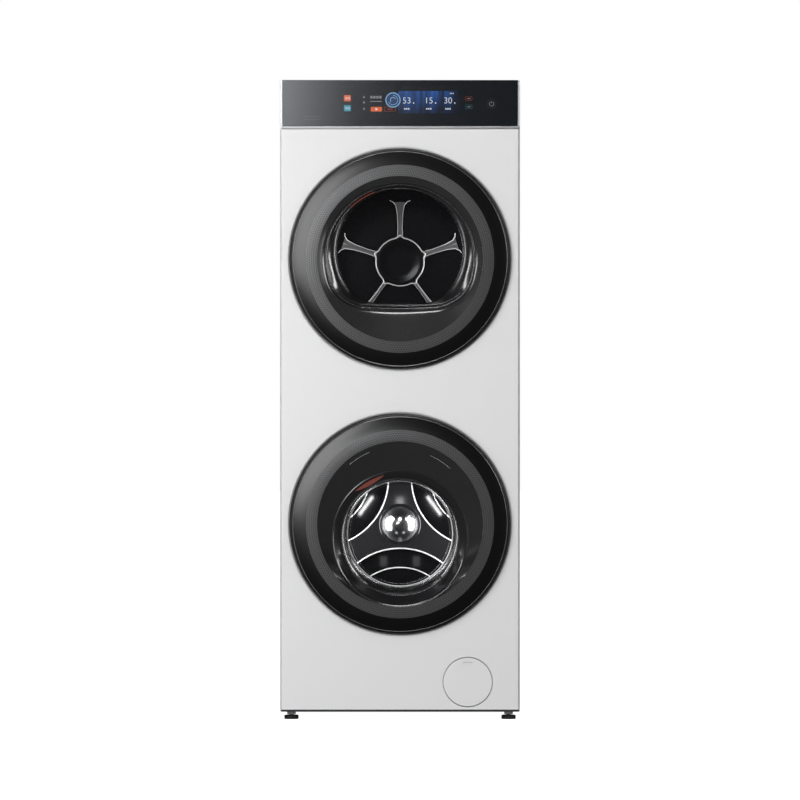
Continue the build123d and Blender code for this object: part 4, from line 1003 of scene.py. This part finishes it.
# Reflections only: name, place, target, size, watts and colour.
CARDS = (("console_card", (-1.2, -11.6, 2.4), (0, -0.3, 1.5), (1.4, 1.0), 46, (0.94, 0.97, 1.0)),
         ("top_card", (-0.2, -1.9, 3.6), (0, -0.3, 1.0), (2.0, 0.7), 60, (1, 1, 1)),
         ("left_side", (-2.9, -1.9, 1.9), (0, -0.3, 1.0), (0.5, 1.5), 22, (1, 1, 1)),
         ("right_side", (3.0, -1.95, 1.9), (0, -0.3, 1.0), (0.5, 1.5), 28, (1, 1, 1)),
         ("right_card", (4.3, -4.8, 1.3), FACE, (1.2, 2.8), 30, (1, 1, 1)))
# Inside a drum: its axis, distance to each side of it, depth and watts.
DRUM_LIGHTS = ((WASH_AXIS, 0.20, 0.0, 1.9), (DRY_AXIS, 0.23, 0.02, 1.1))
# Streaks in the drum's back: x and z of each as it shows from the front, length, width, tilt, watts and the
# depth of the face that mirrors it.
STREAKS = ((-0.085, 0.536, 0.060, 0.007, 53.6, 0.075, WASH_BACK),
           (0.085, 0.536, 0.060, 0.007, 126.4, 0.075, WASH_BACK),
           (0.0, 0.545, 0.018, 0.022, 0, 0.022, WASH_BACK - 0.014),
           (-0.041, 0.397, 0.026, 0.018, 90, 0.0030, WASH_BACK),
           (0.041, 0.397, 0.026, 0.018, 90, 0.0030, WASH_BACK))
STREAK_Y = 0.03


def area(name, place, target, size, power, color=(1, 1, 1)):
    """A rectangular softbox that faces a target."""
    lamp = bpy.data.lights.new(name, "AREA")
    lamp.shape = "RECTANGLE"
    lamp.size, lamp.size_y = size
    lamp.energy = power
    lamp.color = color
    holder = bpy.data.objects.new(name, lamp)
    holder.location = place
    holder.rotation_euler = (Vector(target) - Vector(place)).to_track_quat("-Z", "Y").to_euler()
    bpy.context.scene.collection.objects.link(holder)
    return holder


def stage():
    """A white floor that is only seen, never reflected."""
    mesh = bpy.data.meshes.new("floor")
    reach = 30.0
    corners = [(-reach, -reach, 0), (reach, -reach, 0), (reach, reach, 0), (-reach, reach, 0)]
    mesh.from_pydata(corners, [], [(0, 1, 2, 3)])
    floor = bpy.data.objects.new("floor", mesh)
    bpy.context.scene.collection.objects.link(floor)
    paint = surface("floor_paint", (0.9, 0.9, 0.9), 0.7, bump=0.0, tint=0.01)
    emit(paint, (1, 1, 1), 1.0)
    mesh.materials.append(paint)
    floor.visible_glossy = False
    floor.visible_diffuse = False


def surroundings():
    """White where the camera sees it, grey for diffuse light and nearly black in reflections."""
    world = bpy.data.worlds.new("studio")
    bpy.context.scene.world = world
    world.use_nodes = True
    tree = world.node_tree
    tree.nodes.clear()
    out = add(tree, "ShaderNodeOutputWorld")
    paths = add(tree, "ShaderNodeLightPath")
    seen = add(tree, "ShaderNodeBackground", Color=(1, 1, 1, 1), Strength=1.0)
    diffuse = add(tree, "ShaderNodeBackground", Color=(1, 1, 1, 1), Strength=0.40)
    mirrored = add(tree, "ShaderNodeBackground", Color=(1, 1, 1, 1), Strength=0.06)
    glossy_mix = add(tree, "ShaderNodeMixShader")
    camera_mix = add(tree, "ShaderNodeMixShader")
    tree.links.new(paths.outputs["Is Glossy Ray"], glossy_mix.inputs[0])
    tree.links.new(diffuse.outputs[0], glossy_mix.inputs[1])
    tree.links.new(mirrored.outputs[0], glossy_mix.inputs[2])
    tree.links.new(paths.outputs["Is Camera Ray"], camera_mix.inputs[0])
    tree.links.new(glossy_mix.outputs[0], camera_mix.inputs[1])
    tree.links.new(seen.outputs[0], camera_mix.inputs[2])
    tree.links.new(camera_mix.outputs[0], out.inputs[0])


def lights():
    """A large softbox at the left, a wash close to it, reflection cards and small lamps in the drums."""
    area("key", (-2.8, -8.3, 2.6), (0, 0, 0.85), (3.0, 3.8), 235)
    wash = area("left_wash", (-1.5, -2.1, 1.5), (0.1, -0.3, 0.9), (0.6, 1.6), 26)
    wash.visible_glossy = False
    for card in CARDS:
        area(*card).visible_diffuse = False
    for axis, reach, depth, power in DRUM_LIGHTS:
        for side in (-1, 1):
            lamp = area("drum_light", (axis.x + side * reach, depth, axis.z + 0.02),
                        (axis.x, depth + 0.13, axis.z), (0.10, 0.26), power)
            lamp.visible_camera = False


def inner_reflections():
    """Small lamps in the washer's mouth that show as streaks in the polished drum back."""
    for x, z, long, wide, tilt, power, mirror in STREAKS:
        image_y = 2 * mirror - STREAK_Y
        stretch = (image_y - PANEL_Y + LENS_DISTANCE) / LENS_DISTANCE
        place = (x * stretch, STREAK_Y, HEIGHT / 2 + (z - HEIGHT / 2) * stretch)
        lamp = area("mouth_lamp", place, (place[0], 1.0, place[2]), (long, wide), power)
        lamp.rotation_euler.rotate_axis("Z", math.radians(tilt))
        lamp.visible_camera = False


def camera():
    """A long lens straight in front, level with the middle of the machine."""
    lens = bpy.data.cameras.new("camera")
    lens.sensor_width = 36.0
    lens.lens = lens.sensor_width * LENS_DISTANCE / SEEN_WIDTH
    lens.clip_end = 60.0
    holder = bpy.data.objects.new("camera", lens)
    holder.location = (0, PANEL_Y - LENS_DISTANCE, HEIGHT / 2)
    holder.rotation_euler = (math.radians(90), 0, 0)
    bpy.context.scene.collection.objects.link(holder)
    bpy.context.scene.camera = holder


stage()
surroundings()
lights()
inner_reflections()
camera()
bpy.context.scene.view_settings.view_transform = "Standard"
